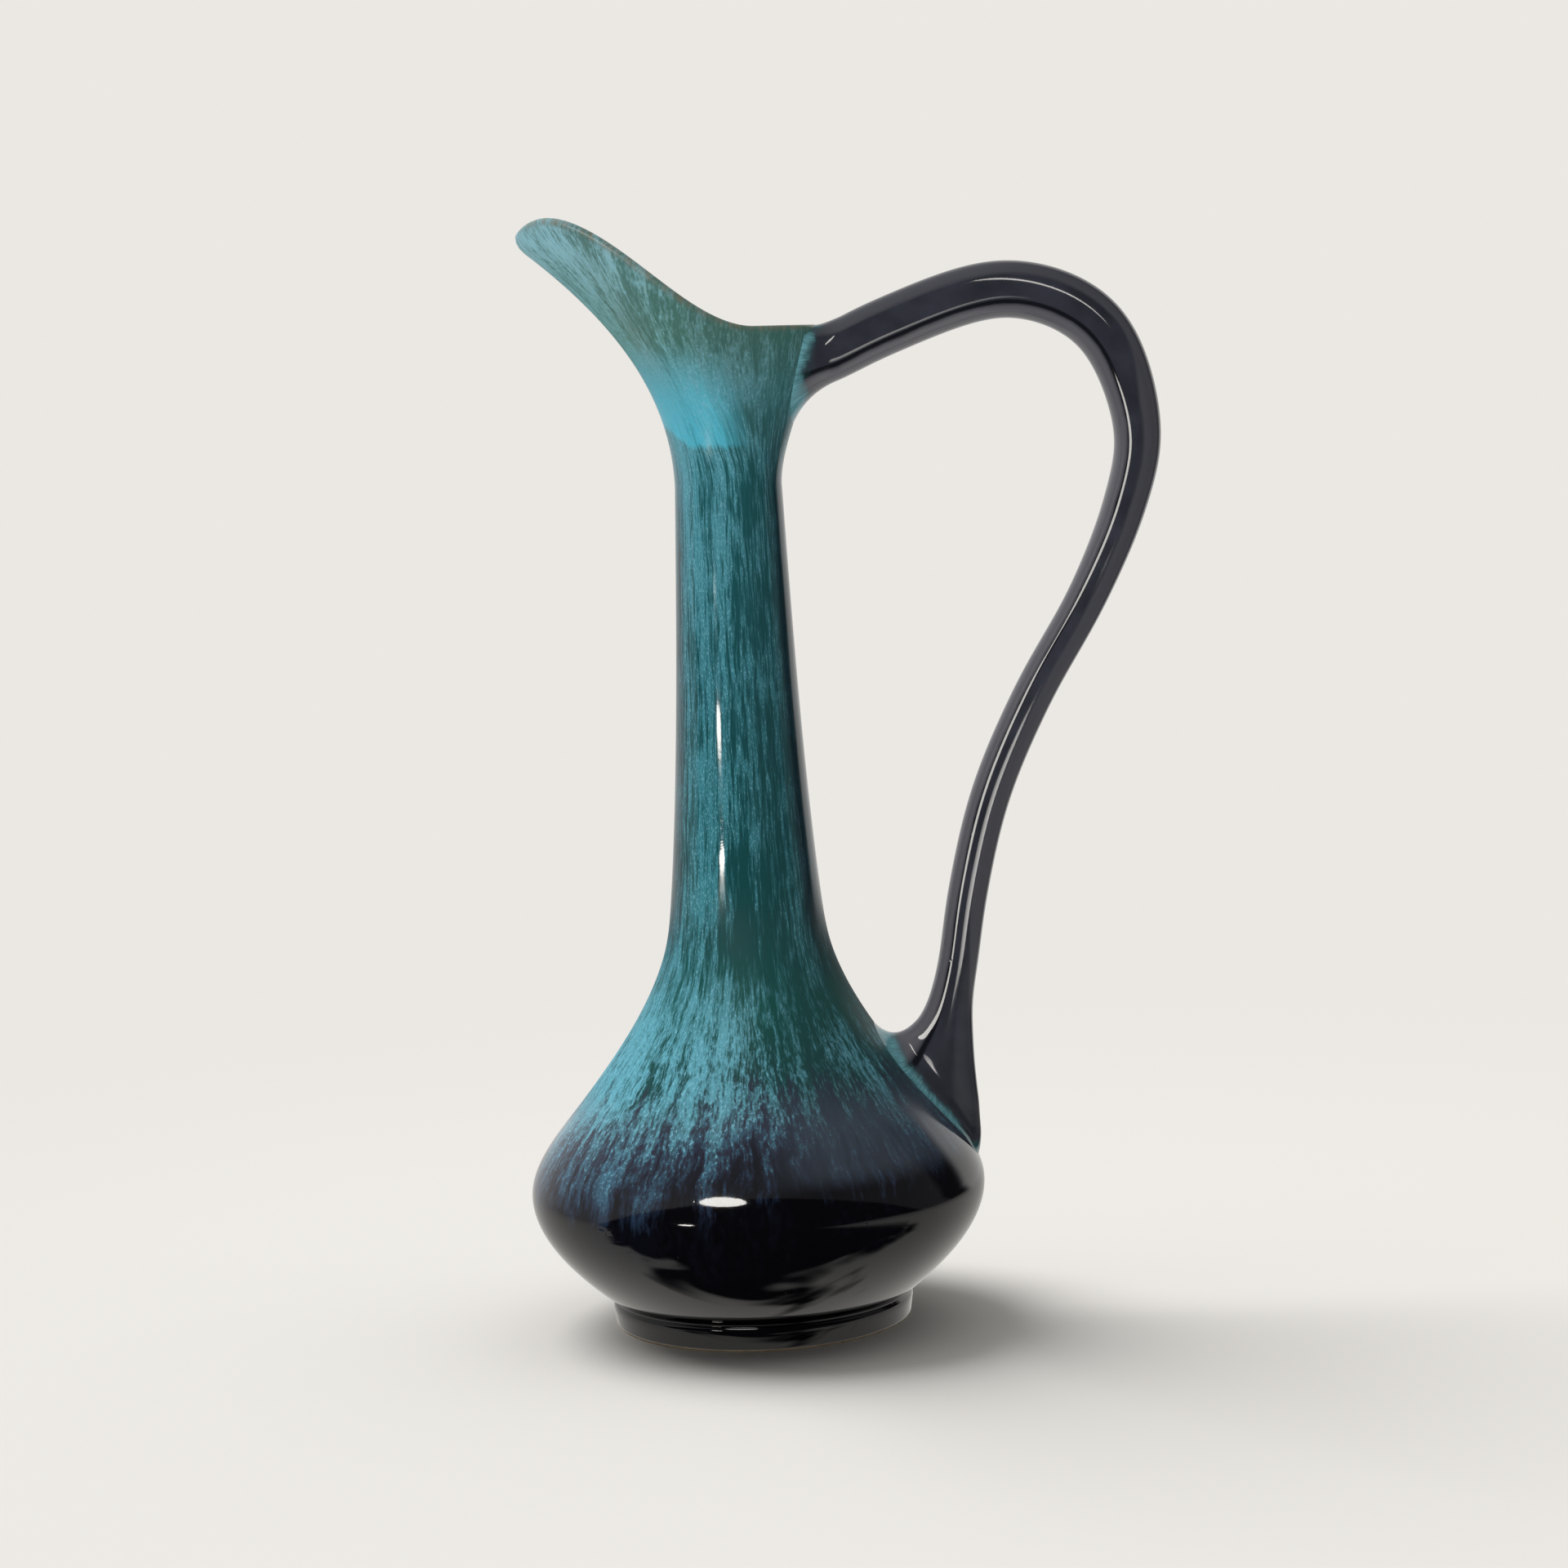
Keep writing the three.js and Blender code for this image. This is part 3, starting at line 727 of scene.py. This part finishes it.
def handle_glaze():
    """The handle's navy glaze, a little bluer in patches, with the pot's pale teal pooled along each root."""
    material, tree, shader = new_material("navy_handle_glaze")
    place = object_place(tree)
    level = drawn_level(tree, place)
    run = kept(tree, "run", "Vector")
    root = kept(tree, "root", "Fac")
    fine = strands(tree, run, 1800, 260, bend=0.0008, seed=6)
    patches = noise_at(tree, place, 90, 3)
    colour = ramp(tree, patches, HANDLE_NAVY)
    colour = blend(tree, product(tree, fine, 0.2), colour, HANDLE_STRAND)

    # From -1 on the loop's outer face to 1 on its inner face. The grey bands on both faces are painted
    # reflections of the pale surroundings, and the black line along the inner edges is a painted reflection
    # of a dark band.
    inner = maths(tree, "DIVIDE", axes_of(tree, run)["X"], -RUN_CIRCLE)
    inner = sway(tree, inner, patches, 0.12)
    on_arch = band(tree, level, 232, 256, -0.12, -0.51)
    on_seat = band(tree, level, 60, 112, -1.2, -0.12)
    outer = maths(tree, "SUBTRACT", inner, maths(tree, "MINIMUM", on_arch, on_seat))
    colour = blend(tree, band(tree, outer, 0.09, -0.09), colour, OUTER_REFLECTION_GREY)
    colour = blend(tree, band(tree, inner, 0.4, 0.62), colour, INNER_REFLECTION_GREY)
    reflection_line = zone(tree, inner, 0.28, 0.35, 0.42, 0.5)
    colour = blend(tree, product(tree, reflection_line, 0.85), colour, REFLECTION_LINE_BLACK)

    # The pot's teal at the roots, with a pale crest
    ragged = noise_at(tree, place, 260, 3)
    edge = sway(tree, root, ragged, 0.35)
    colour = blend(tree, band(tree, edge, 0.35, 0.8), colour, ROOT_TEAL)
    crest = product(
        tree,
        zone(tree, edge, 0.45, 0.7, 0.75, 1),
        band(tree, fine, 0.2, 0.8, 0.45, 0.9),
        band(tree, inner, -0.75, -0.35),
    )
    colour = blend(tree, crest, colour, ROOT_CREST)
    connect(tree, shader, {"Base Color": colour})
    wet(tree, shader, place, swell=0.00006, peel=0.000001, gloss=0.06)
    return material


def bare_clay():
    """Unglazed buff clay with dark grog specks and a dry, sandy surface."""
    material, tree, shader = new_material("bare_buff_clay")
    place = object_place(tree)
    sand = noise_at(tree, place, 1400, 4)
    grog = add(tree, "ShaderNodeTexVoronoi", {"Vector": place, "Scale": 600}).outputs["Distance"]
    colour = ramp(tree, noise_at(tree, place, 120, 3), CLAY_BUFF)
    colour = blend(tree, band(tree, grog, 0.1, 0.22, 0.7, 0), colour, GROG_BROWN)
    roughness = band(tree, sand, 0.3, 0.7, 0.75, 0.95)
    bump = add(tree, "ShaderNodeBump", {"Height": sand, "Strength": 0.6, "Distance": 0.0003})
    connect(tree, shader, {"Base Color": colour, "Roughness": roughness, "Normal": bump.outputs[0]})
    return material


RUNNING_GLAZE = running_glaze()
HANDLE_GLAZE = handle_glaze()
BARE_CLAY = bare_clay()


# The glazed pot
GLAZE_EDGE = 0.7 * MM
SEAT_BLEND = 2.8 * MM
POLE_RADIUS = 0.5 * MM
LIP_BREAK_START = 0.8 * MM
LIP_BREAK_END = 2.6 * MM


def foot_profile():
    """The glazed foot from its lower edge, where the glaze ends in a soft roll, up a wall that leans in a
    little to the bottom, over a rounded top and through a hollow into the bowl."""
    share = np.linspace(0, 1, FOOT_CURVE_ROWS)[:, None]
    roll_start = np.array([FOOT_RADIUS - 0.9 * MM, GLAZE_EDGE * 0.8])
    roll_corner = np.array([FOOT_RADIUS - 0.55 * MM, GLAZE_EDGE * 0.8])
    roll_end = np.array([FOOT_RADIUS - 0.5 * MM, GLAZE_EDGE + 0.6 * MM])
    roll = bezier(roll_start, roll_corner, roll_end, share)
    top_start = np.array([FOOT_RADIUS, FOOT_HEIGHT - 2 * MM])
    top_corner = np.array([FOOT_RADIUS + 0.15 * MM, FOOT_HEIGHT - 0.6 * MM])
    top_end = np.array([BOWL_SEAT_RADIUS + 0.5 * MM, FOOT_HEIGHT])
    wall = lerp(roll_end, top_start, share)
    top = bezier(top_start, top_corner, top_end, share)
    seat_height = FOOT_HEIGHT + SEAT_BLEND
    seat_end = np.array([float(outline_at(seat_height)[0]), seat_height])
    hollow_corner = np.array([BOWL_SEAT_RADIUS - 0.3 * MM, FOOT_HEIGHT + 0.6 * MM])
    hollow = bezier(top_end, hollow_corner, seat_end, share)
    return np.vstack([roll, wall[1:], top[1:], hollow[1:]])


def inside_profile():
    """The inside from the neck's top down to the floor, round a corner, as far as the floor's middle."""
    floor = FOOT_HEIGHT + FLOOR_THICKNESS
    corner_top = floor + FLOOR_CORNER_ROUND
    heights = even_heights(corner_top, NECK_TOP_HEIGHT, INSIDE_ROWS)[::-1]
    wall = np.column_stack([inside_at(heights), heights])
    corner_radius = float(inside_at(floor))
    corner_start = np.array([float(inside_at(corner_top)), corner_top])
    corner_point = np.array([corner_radius, floor])
    corner_end = np.array([corner_radius - FLOOR_CORNER_ROUND, floor])
    share = np.linspace(0, 1, FLOOR_ROWS)[1:, None]
    corner = bezier(corner_start, corner_point, corner_end, share)
    radii = np.linspace(corner_end[0], POLE_RADIUS, FLOOR_ROWS)[1:]
    ground = np.column_stack([radii, np.full(len(radii), floor)])
    return np.vstack([wall[1:], corner, ground])


def glazed_pot():
    """Rings from the foot's edge up the outside, over the lip and down the inside to the floor's middle."""
    angle = turns(POT_SIDES)
    heights = even_heights(FOOT_HEIGHT + SEAT_BLEND, NECK_TOP_HEIGHT, BODY_ROWS)[1:]
    body = np.column_stack([outline_at(heights)[0], heights])
    outside = revolve(np.vstack([foot_profile(), body]), angle)
    share = np.linspace(0, 1, MOUTH_ROWS)[1:, None]
    mouth = mouth_at(angle, share)
    normal = mouth_normal(angle, np.ones(1))
    turn = np.linspace(0, np.pi, LIP_ROWS)[1:-1, None, None]
    half = LIP_WALL / 2
    under_rim = 0.999
    rise = mouth[-1] - mouth_at(angle, under_rim)
    rise /= lengths(rise)
    lip = mouth[-1] - normal * half * (1 - np.cos(turn)) + rise * half * np.sin(turn)
    down = share[::-1]
    wall = lerp(NECK_WALL, LIP_WALL, down)[..., None]
    mouth_inside = mouth_at(angle, down) - mouth_normal(angle, down) * wall
    inside = revolve(inside_profile(), angle)
    rows = np.concatenate([outside, mouth, lip, mouth_inside, inside])
    length = run_length(rows)
    crown = len(outside) + len(mouth) + len(lip) // 2
    from_crown = np.abs(length - length[crown])
    break_share = 1 - smoothstep(from_crown, LIP_BREAK_START, LIP_BREAK_END)
    piece = skin("glazed_pot", rows, RUNNING_GLAZE, cap_end=True)
    keep_values(piece, "run", polar(RUN_CIRCLE, angle, length))
    keep_values(piece, "lip", break_share)
    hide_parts("foot_ring", "bowl", "shoulder", "neck", "spouted_mouth")
    return piece


def clay_foot():
    """The unglazed underside: the recess under the floor, the ring's inner wall, its round edges and flat."""
    angle = turns(POT_SIDES)
    inner = FOOT_RADIUS - FOOT_RING_WIDTH
    edge = FOOT_EDGE_ROUND
    recess = FOOT_HEIGHT - 0.2 * MM
    recess_round = 1.5 * MM
    recess_dish = 0.5 * MM
    glaze = 0.6 * MM
    radii = np.linspace(1 * MM, inner - recess_round, RECESS_ROWS)
    ceiling = np.column_stack([radii, recess - recess_dish * (1 - (radii / inner) ** 2)])
    share = np.linspace(0, 1, RECESS_CURVE_ROWS)[:, None]
    hollow_end = np.array([inner, recess - recess_round])
    hollow = bezier(ceiling[-1], np.array([inner, recess]), hollow_end, share)[1:]
    quarter = np.linspace(0, np.pi / 2, FOOT_CURVE_ROWS)
    inner_round = np.column_stack([inner + edge * (1 - np.cos(quarter)), edge * (1 - np.sin(quarter))])
    outer = FOOT_RADIUS - glaze
    outer_round = np.column_stack([outer - edge * (1 - np.sin(quarter)), edge * (1 - np.cos(quarter))])
    tuck = np.array([[outer - 0.1 * MM, GLAZE_EDGE + 0.8 * MM]])
    profile = np.vstack([ceiling, hollow, inner_round, outer_round, tuck])
    return skin("bare_clay_foot", revolve(profile, angle), BARE_CLAY, cap_start=True)


# The handle
def handle_knots():
    """Knots of the centre line (out and up from the axis) with the loop's thickness and width there.
    The arch starts at the back of the rim; the limb falls from it to the seat on the shoulder."""
    back_thickness = 12.2 * MM
    waist = 10.3 * MM
    seat = 28 * MM
    wide = 13.5 * MM
    narrow = 10.5 * MM
    top = 14.7 * MM
    back = HANDLE_REACH - back_thickness / 2 - BACK_REACH
    seat_radius = float(outline_at(HANDLE_SEAT_HEIGHT)[0])
    arch = np.array(
        [
            [-17 * MM, -10.2 * MM, 18.5 * MM, wide],
            [2 * MM, -6.4 * MM, top, wide],
            [14 * MM, -1 * MM, top, wide],
            [49 * MM, 8.5 * MM, top, wide],
            [back - 9.6 * MM, -1.4 * MM, top, wide],
            [back, -28.5 * MM, back_thickness, wide],
        ]
    )
    arch[:, 0] += BACK_REACH
    arch[:, 1] += RIM_HEIGHT
    limb = np.array(
        [
            [0.223, 0.871, (back_thickness + waist) / 2, wide],
            [0.336, 0.698, waist, narrow],
            [0.455, 0.467, waist, narrow],
            [0.577, 0.273, waist, narrow],
            [0.701, 0.14, waist, narrow],
            [0.784, 0.072, waist, narrow],
            [0.825, 0.032, lerp(waist, seat, 0.04), narrow],
            [0.862, -0.003, lerp(waist, seat, 0.23), narrow],
            [0.918, -0.0786, lerp(waist, seat, 0.845), narrow],
            [0.95, -0.1126, seat, narrow],
            [1.013, -0.13, seat, narrow],
        ]
    )
    down = limb[:, 0].copy()
    limb[:, 0] = lerp(BACK_REACH, seat_radius, down) + limb[:, 1] * back
    limb[:, 1] = lerp(RIM_HEIGHT, HANDLE_SEAT_HEIGHT, down)
    return np.vstack([arch, limb])


KNOTS = handle_knots()


def knot_span(values, place):
    """The four knots' values round each place from 0 to 1, and the share of the way from the second to the
    third."""
    padded = np.concatenate([[2 * values[0] - values[1]], values, [2 * values[-1] - values[-2]]])
    along = place * (len(values) - 1)
    index = np.minimum(along.astype(int), len(values) - 2)
    return [padded[index + k] for k in range(4)], along - index


def knot_line(place):
    """The centre line (x, z) at places from 0 to 1: a cubic from knot to knot whose slope at each knot is
    weighed by the square roots of the distances to its neighbours, so that close knots make no loops."""
    (before, start, end, after), share = knot_span(KNOTS[:, :2], place)
    gap_before = np.sqrt(lengths(start - before))
    gap = np.sqrt(lengths(end - start))
    gap_after = np.sqrt(lengths(after - end))
    middle = (end - start) / gap
    slope_start = (start - before) / gap_before - (end - before) / (gap_before + gap) + middle
    slope_end = middle - (after - start) / (gap + gap_after) + (after - end) / gap_after
    return hermite(start, end, slope_start * gap, slope_end * gap, share[..., None])


def knot_size(column, place):
    """Thickness (2) or width (3) at places: a cubic from knot to knot whose slope at each knot is that from
    the knot before it to the knot after it."""
    (before, start, end, after), share = knot_span(KNOTS[:, column], place)
    return hermite(start, end, (end - before) / 2, (after - start) / 2, share)


def handle_table():
    """The handle at equal steps of length: its centre line (x, z), thickness, width and direction (x, z). A
    bell-shaped average along the knots' cubics evens out the bends."""
    place = np.linspace(0, 1, FINE_STEPS + 1)
    rows = np.column_stack([knot_line(place), knot_size(2, place), knot_size(3, place)])
    steps = np.linalg.norm(np.diff(rows[:, :2], axis=0), axis=-1)
    length = np.concatenate([[0], np.cumsum(steps)])
    even = np.linspace(0, length[-1], TABLE_STEPS + 1)
    rows = np.column_stack([np.interp(even, length, column) for column in rows.T])
    reach = int(3 * HANDLE_EVENING / even[1])
    bell = np.exp(-0.5 * (np.arange(-reach, reach + 1) * even[1] / HANDLE_EVENING) ** 2)
    before = 2 * rows[0] - rows[reach:0:-1]
    after = 2 * rows[-1] - rows[-2 : -reach - 2 : -1]
    padded = np.vstack([before, rows, after])
    rows = np.column_stack([np.convolve(column, bell / bell.sum(), "valid") for column in padded.T])
    along = np.gradient(rows[:, :2], axis=0)
    return np.column_stack([rows, along / lengths(along)])


HANDLE_TABLE = handle_table()


def handle_at(place, turn, growth=0.0):
    """The handle's skin at shares of its length: a superellipse about the centre line. Turn 0 is the outer
    side."""
    place, turn = np.broadcast_arrays(np.asarray(place, float), np.asarray(turn, float))
    shares = np.linspace(0, 1, len(HANDLE_TABLE))
    x, z, thick, wide, along_x, along_z = (np.interp(place, shares, column) for column in HANDLE_TABLE.T)
    squared = 2 / HANDLE_SQUARENESS
    cosine = np.sign(np.cos(turn)) * np.abs(np.cos(turn)) ** squared
    sine = np.sign(np.sin(turn)) * np.abs(np.sin(turn)) ** squared
    outward = (thick / 2 + growth) * cosine
    sideways = (wide / 2 + growth) * sine
    return np.stack([x - along_z * outward, -sideways, z + along_x * outward], axis=-1)


def shoulder_wall(points):
    """Radius and outward direction of the body at each point's own height and side."""
    radius, lean = outline_at(points[..., 2])
    angle = np.arctan2(points[..., 1], points[..., 0])
    normal = polar(1, angle, -lean)
    return radius, normal / lengths(normal)


def mouth_wall(points):
    """Radius and outward direction of the mouth at each point's own height and side, found by halving."""
    angle = np.arctan2(points[..., 1], points[..., 0])
    low = np.zeros_like(angle)
    high = np.full_like(angle, 2.0)
    for _ in range(HALVINGS):
        middle = (low + high) / 2
        below = mouth_at(angle, middle)[..., 2] < points[..., 2]
        low = np.where(below, middle, low)
        high = np.where(below, high, middle)
    wall = mouth_at(angle, low)
    return np.hypot(wall[..., 0], wall[..., 1]), mouth_normal(angle, np.minimum(low, 1))


def luted_root(wall_at, end, outer_reach, turn):
    """One root of the handle: at each turn, where the skin meets the pot, a parabola leaves the handle and
    lies down on the pot, or over its lip. Gives the rows from the handle to the pot and the places where
    they start."""
    places = np.abs(end - np.linspace(0, 0.5, SEARCH_STEPS))[:, None]
    points = handle_at(places, turn)
    stand_off = np.hypot(points[..., 0], points[..., 1]) - wall_at(points)[0]
    column = np.arange(len(turn))
    foot = np.argmax(stand_off > 0, axis=0)
    corner = points[foot, column]
    reach = lerp(outer_reach, ROOT_REACH, (1 - np.cos(turn)) / 2)
    far = (np.linalg.norm(points - corner, axis=-1) > reach) & (np.arange(len(places))[:, None] > foot)
    leave = np.argmax(far, axis=0)
    away = handle_at(places[foot, 0], turn, 1 * MM) - corner
    normal = wall_at(corner)[1]
    slide = away - normal * np.sum(away * normal, axis=-1)[:, None]
    slide *= (reach / np.linalg.norm(slide, axis=-1))[:, None]
    landing = corner + slide
    half = LIP_WALL / 2
    over = np.clip((landing[:, 2] - RIM_HEIGHT) / half, 0, np.pi / 2)
    landing[:, 2] = np.minimum(landing[:, 2], RIM_HEIGHT + half * np.sin(over))
    radius = wall_at(landing)[0] - half * (1 - np.cos(over)) - ROOT_SINK
    scale = radius / np.hypot(landing[:, 0], landing[:, 1])
    landing = landing * np.stack([scale, scale, np.ones_like(scale)], axis=-1)
    share = np.linspace(0, 1, ROOT_ROWS)[:, None, None]
    return bezier(points[leave, column], corner, landing, share), places[leave, 0]


def glazed_handle():
    """The whole handle as rows from the mouth to the shoulder: root, loop, root."""
    turn = turns(HANDLE_SIDES)
    upper, first = luted_root(mouth_wall, 0, RIM_ROOT_REACH, turn)
    lower, last = luted_root(shoulder_wall, 1, TAIL_ROOT_REACH, turn)
    share = np.linspace(0, 1, LOOP_ROWS)[1:-1, None]
    loop = handle_at(lerp(first, last, share), turn)
    rows = np.concatenate([upper[::-1], loop, lower])
    root = np.zeros(rows.shape[:2])
    fade = np.linspace(0, 1, len(upper))[:, None]
    root[: len(upper)] = fade[::-1]
    root[-len(lower) :] = fade
    piece = skin("glazed_handle", rows, HANDLE_GLAZE)
    keep_values(piece, "run", polar(RUN_CIRCLE, turn, run_length(rows)))
    keep_values(piece, "root", root)
    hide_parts("handle", "upper_joint_coil", "lower_joint_coil")
    return piece


def lit_group(name, pieces):
    """A collection that a lamp can light alone."""
    group = bpy.data.collections.new(name)
    for piece in pieces:
        group.objects.link(piece)
    return group


POT = lit_group("pot", [glazed_pot(), clay_foot()])
LOOP = lit_group("loop", [glazed_handle()])
PITCHER = lit_group("pitcher", [*POT.objects, *LOOP.objects])

# Studio: floor, background, lamps and camera
BACKGROUND = paint(235, 232, 227)
LEFT_NEAR = (0.4, 0.4, 0.4, 1)
LEFT_FAR = (0.66, 0.65, 0.64, 1)
RIGHT_NEAR = (0.14, 0.14, 0.15, 1)
RIGHT_FAR = (0.85, 0.84, 0.82, 1)
DARK_ROOM = (0.012, 0.012, 0.016, 1)
DIM_CEILING = (0.02, 0.02, 0.02, 1)
LOW_SKY = (0.03, 0.03, 0.03, 1)
HIGH_SKY = (0.83, 0.83, 0.825, 1)
FRONT_SKY = (0.01, 0.01, 0.01, 1)
FLOOR_REACH = 12.0
MIRRORED_FLOOR_PALE = paint(213, 211, 206)
MIRRORED_FLOOR_DARK = (0.008, 0.008, 0.01, 1)
STREAK_STRETCH = (14, 42, 1)
WARM_WHITE = (1.0, 0.97, 0.92)


def mirrored_studio():
    """What the glaze mirrors in each direction: pale sides with a dark strip on the right, a dark room
    towards the camera and a dimmer ceiling."""
    tree, given, out = new_group("mirrored_studio", {"Direction": "Vector"}, {"Colour": "Color"})
    axes = axes_of(tree, given["Direction"])
    left = blend(tree, band(tree, axes["Y"], 0.2, 0.8), LEFT_NEAR, LEFT_FAR)
    right = blend(tree, band(tree, axes["Y"], 0.54, 0.66), RIGHT_NEAR, RIGHT_FAR)
    strip = product(tree, zone(tree, axes["Y"], 0.2, 0.32, 0.5, 0.58), 0.9)
    right = blend(tree, strip, right, DARK_ROOM)
    sides = blend(tree, band(tree, axes["X"], -0.2, 0.5), left, right)
    sides = blend(tree, band(tree, axes["Z"], 0.5, 0.9, 0, 0.45), sides, DIM_CEILING)
    rising = plus(tree, axes["Y"], maths(tree, "MAXIMUM", axes["Z"], 0), 0.8)
    colour = blend(tree, band(tree, rising, -0.11, -0.17), sides, DARK_ROOM)
    tree.links.new(colour, out["Colour"])
    return tree


MIRRORED_STUDIO = mirrored_studio()


def mirrored_at(tree, direction):
    return use_group(tree, MIRRORED_STUDIO, {"Direction": direction})["Colour"]


def pale_floor():
    """A wide pale floor that far off is one with the background. In the glaze's reflections it is streaked
    and dark before the pot, as the room behind the camera is, and far off one with the mirrored studio."""
    mesh = bpy.data.meshes.new("pale_floor")
    corners = [(x * FLOOR_REACH, y * FLOOR_REACH, 0) for x, y in ((-1, -1), (1, -1), (1, 1), (-1, 1))]
    mesh.from_pydata(corners, [], [(0, 1, 2, 3)])
    floor = put("pale_floor", mesh)
    material = bpy.data.materials.new("pale_floor")
    tree = empty_tree(material)
    place = object_place(tree)
    axes = axes_of(tree, place)
    path = add(tree, "ShaderNodeLightPath").outputs
    way = add(tree, "ShaderNodeVectorMath", {0: place}, operation="LENGTH").outputs["Value"]
    direction = vector_maths(tree, "NORMALIZE", place)

    # Swirls of the room in the glaze, as streaks across the dark part of the floor
    drawn = vector_maths(tree, "MULTIPLY", place, STREAK_STRETCH)
    streaks = add(tree, "ShaderNodeTexNoise", {"Vector": drawn, "Scale": 1, "Detail": 2, "Distortion": 1.2})
    waved = sway(tree, axes["Y"], streaks.outputs[0], 0.07, centre=0.43)
    from_right = plus(tree, axes["X"], axes["Y"], 0.15)
    front = product(tree, band(tree, waved, -0.041, -0.053), band(tree, from_right, 0.12, 0.06))

    # Painted reflection: for glossy rays the floor glows as an emission, pale close by and dark before the
    # pot, instead of being lit
    close_by = blend(tree, front, MIRRORED_FLOOR_PALE, MIRRORED_FLOOR_DARK)
    seen = blend(tree, band(tree, way, 0.14, 0.45), close_by, mirrored_at(tree, direction))
    matt = add(tree, "ShaderNodeBsdfDiffuse", {"Color": BACKGROUND}).outputs[0]
    mirrored = add(tree, "ShaderNodeEmission", {"Color": seen}).outputs[0]
    distant = add(tree, "ShaderNodeEmission", {"Color": BACKGROUND}).outputs[0]
    near = add(tree, "ShaderNodeMixShader", {0: path["Is Glossy Ray"], 1: matt, 2: mirrored}).outputs[0]
    far_off = product(tree, path["Is Camera Ray"], band(tree, way, 0.16, 0.5))
    whole = add(tree, "ShaderNodeMixShader", {0: far_off, 1: near, 2: distant}).outputs[0]
    add(tree, "ShaderNodeOutputMaterial", {"Surface": whole})
    mesh.materials.append(material)


def studio_air():
    """Even soft light all round. The camera sees the pale background; the glaze mirrors the studio."""
    world = bpy.data.worlds.new("studio_air")
    bpy.context.scene.world = world
    tree = empty_tree(world)
    direction = add(tree, "ShaderNodeTexCoord").outputs["Generated"]
    axes = axes_of(tree, direction)
    path = add(tree, "ShaderNodeLightPath").outputs
    soft = blend(tree, band(tree, axes["Z"], 0.02, 0.85), LOW_SKY, HIGH_SKY)
    soft = blend(tree, band(tree, axes["Y"], 0.1, -0.6, 0, 0.95), soft, FRONT_SKY)
    colour = blend(tree, path["Is Glossy Ray"], soft, mirrored_at(tree, direction))
    colour = blend(tree, path["Is Camera Ray"], colour, BACKGROUND)
    air = add(tree, "ShaderNodeBackground", {"Color": colour, "Strength": 1.0})
    add(tree, "ShaderNodeOutputWorld", {"Surface": air.outputs[0]})


def aim(place, target):
    """A turn that points a lamp's or camera's -Z from its place to a target."""
    return (Vector(target) - Vector(place)).to_track_quat("-Z", "Y").to_matrix().to_4x4()


def lamp(name, bearing, height, distance, size, radiance, lights=PITCHER, mirrored=True, tilt=0, spread=180):
    """A flat oval lamp that lights one collection alone. Its bearing is in degrees from the camera's side
    to the handle's, and its size is its width and height in metres."""
    width, tall = size
    light = bpy.data.lights.new(name, "AREA")
    light.shape = "ELLIPSE"
    light.size = width
    light.size_y = tall
    light.spread = math.radians(spread)
    light.energy = radiance * math.pi**2 / 4 * width * tall
    light.color = WARM_WHITE
    turn = math.radians(bearing)
    place = (AXIS_X + distance * math.sin(turn), -distance * math.cos(turn), height)
    holder = put(name, light)
    tilted = Matrix.Rotation(math.radians(tilt), 4, "Z")
    holder.matrix_world = Matrix.Translation(place) @ aim(place, (AXIS_X, 0, NECK_ROOT_HEIGHT)) @ tilted
    holder.visible_camera = False
    holder.visible_glossy = mirrored
    holder.light_linking.receiver_collection = lights


def key_sun():
    """A broad sun from the left and behind, which throws the soft shadow to the right."""
    light = bpy.data.lights.new("key_sun", "SUN")
    light.energy = 2.3
    light.angle = math.radians(44)
    place = (-0.46, 0.4, 0.8)
    sun = put("key_sun", light)
    sun.matrix_world = aim(place, (0, 0, 0))
    sun.visible_glossy = False


def camera():
    """The camera stands a metre off the axis in front of the pitcher, turned, dipped and rolled a little."""
    distance = 1000 * MM
    height = 251.7 * MM
    yaw = math.radians(0.635)
    dip = math.radians(6.355)
    roll = math.radians(-2.408)
    focal_share_of_picture = 4748 / 1920
    forward = Vector((math.sin(yaw) * math.cos(dip), math.cos(yaw) * math.cos(dip), -math.sin(dip)))
    level = Vector((math.cos(yaw), -math.sin(yaw), 0))
    upright = level.cross(forward)
    right = level * math.cos(roll) + upright * math.sin(roll)
    up = upright * math.cos(roll) - level * math.sin(roll)
    lens = bpy.data.cameras.new("camera")
    lens.sensor_width = 36
    lens.lens = focal_share_of_picture * lens.sensor_width
    lens.clip_start = 0.01
    seen = put("camera", lens)
    turned = Matrix((right, up, -forward)).transposed().to_4x4()
    seen.matrix_world = Matrix.Translation((AXIS_X, -distance, height)) @ turned
    bpy.context.scene.camera = seen


pale_floor()
studio_air()
key_sun()
lamp("ceiling_lamp", bearing=-20, height=0.75, distance=0.84, size=(0.42, 0.18), radiance=20, lights=POT)
lamp("side_lamp", bearing=-36, height=0.159, distance=0.9, size=(0.13, 0.03), radiance=28, lights=POT)
lamp("limb_strip", bearing=-30, height=0.24, distance=0.9, size=(0.22, 0.52), radiance=13, lights=LOOP)
lamp(
    "low_window",
    bearing=13,
    height=0.045,
    distance=0.5,
    size=(0.12, 0.12),
    radiance=0.42,
    lights=LOOP,
    spread=36,
)
lamp("arch_strip", bearing=14, height=0.64, distance=0.9, size=(0.06, 0.6), radiance=14, lights=LOOP, tilt=35)
lamp("front_fill", bearing=-10, height=0.7, distance=1.3, size=(1, 1), radiance=1.15, mirrored=False)
camera()
bpy.context.scene.view_settings.view_transform = "Standard"
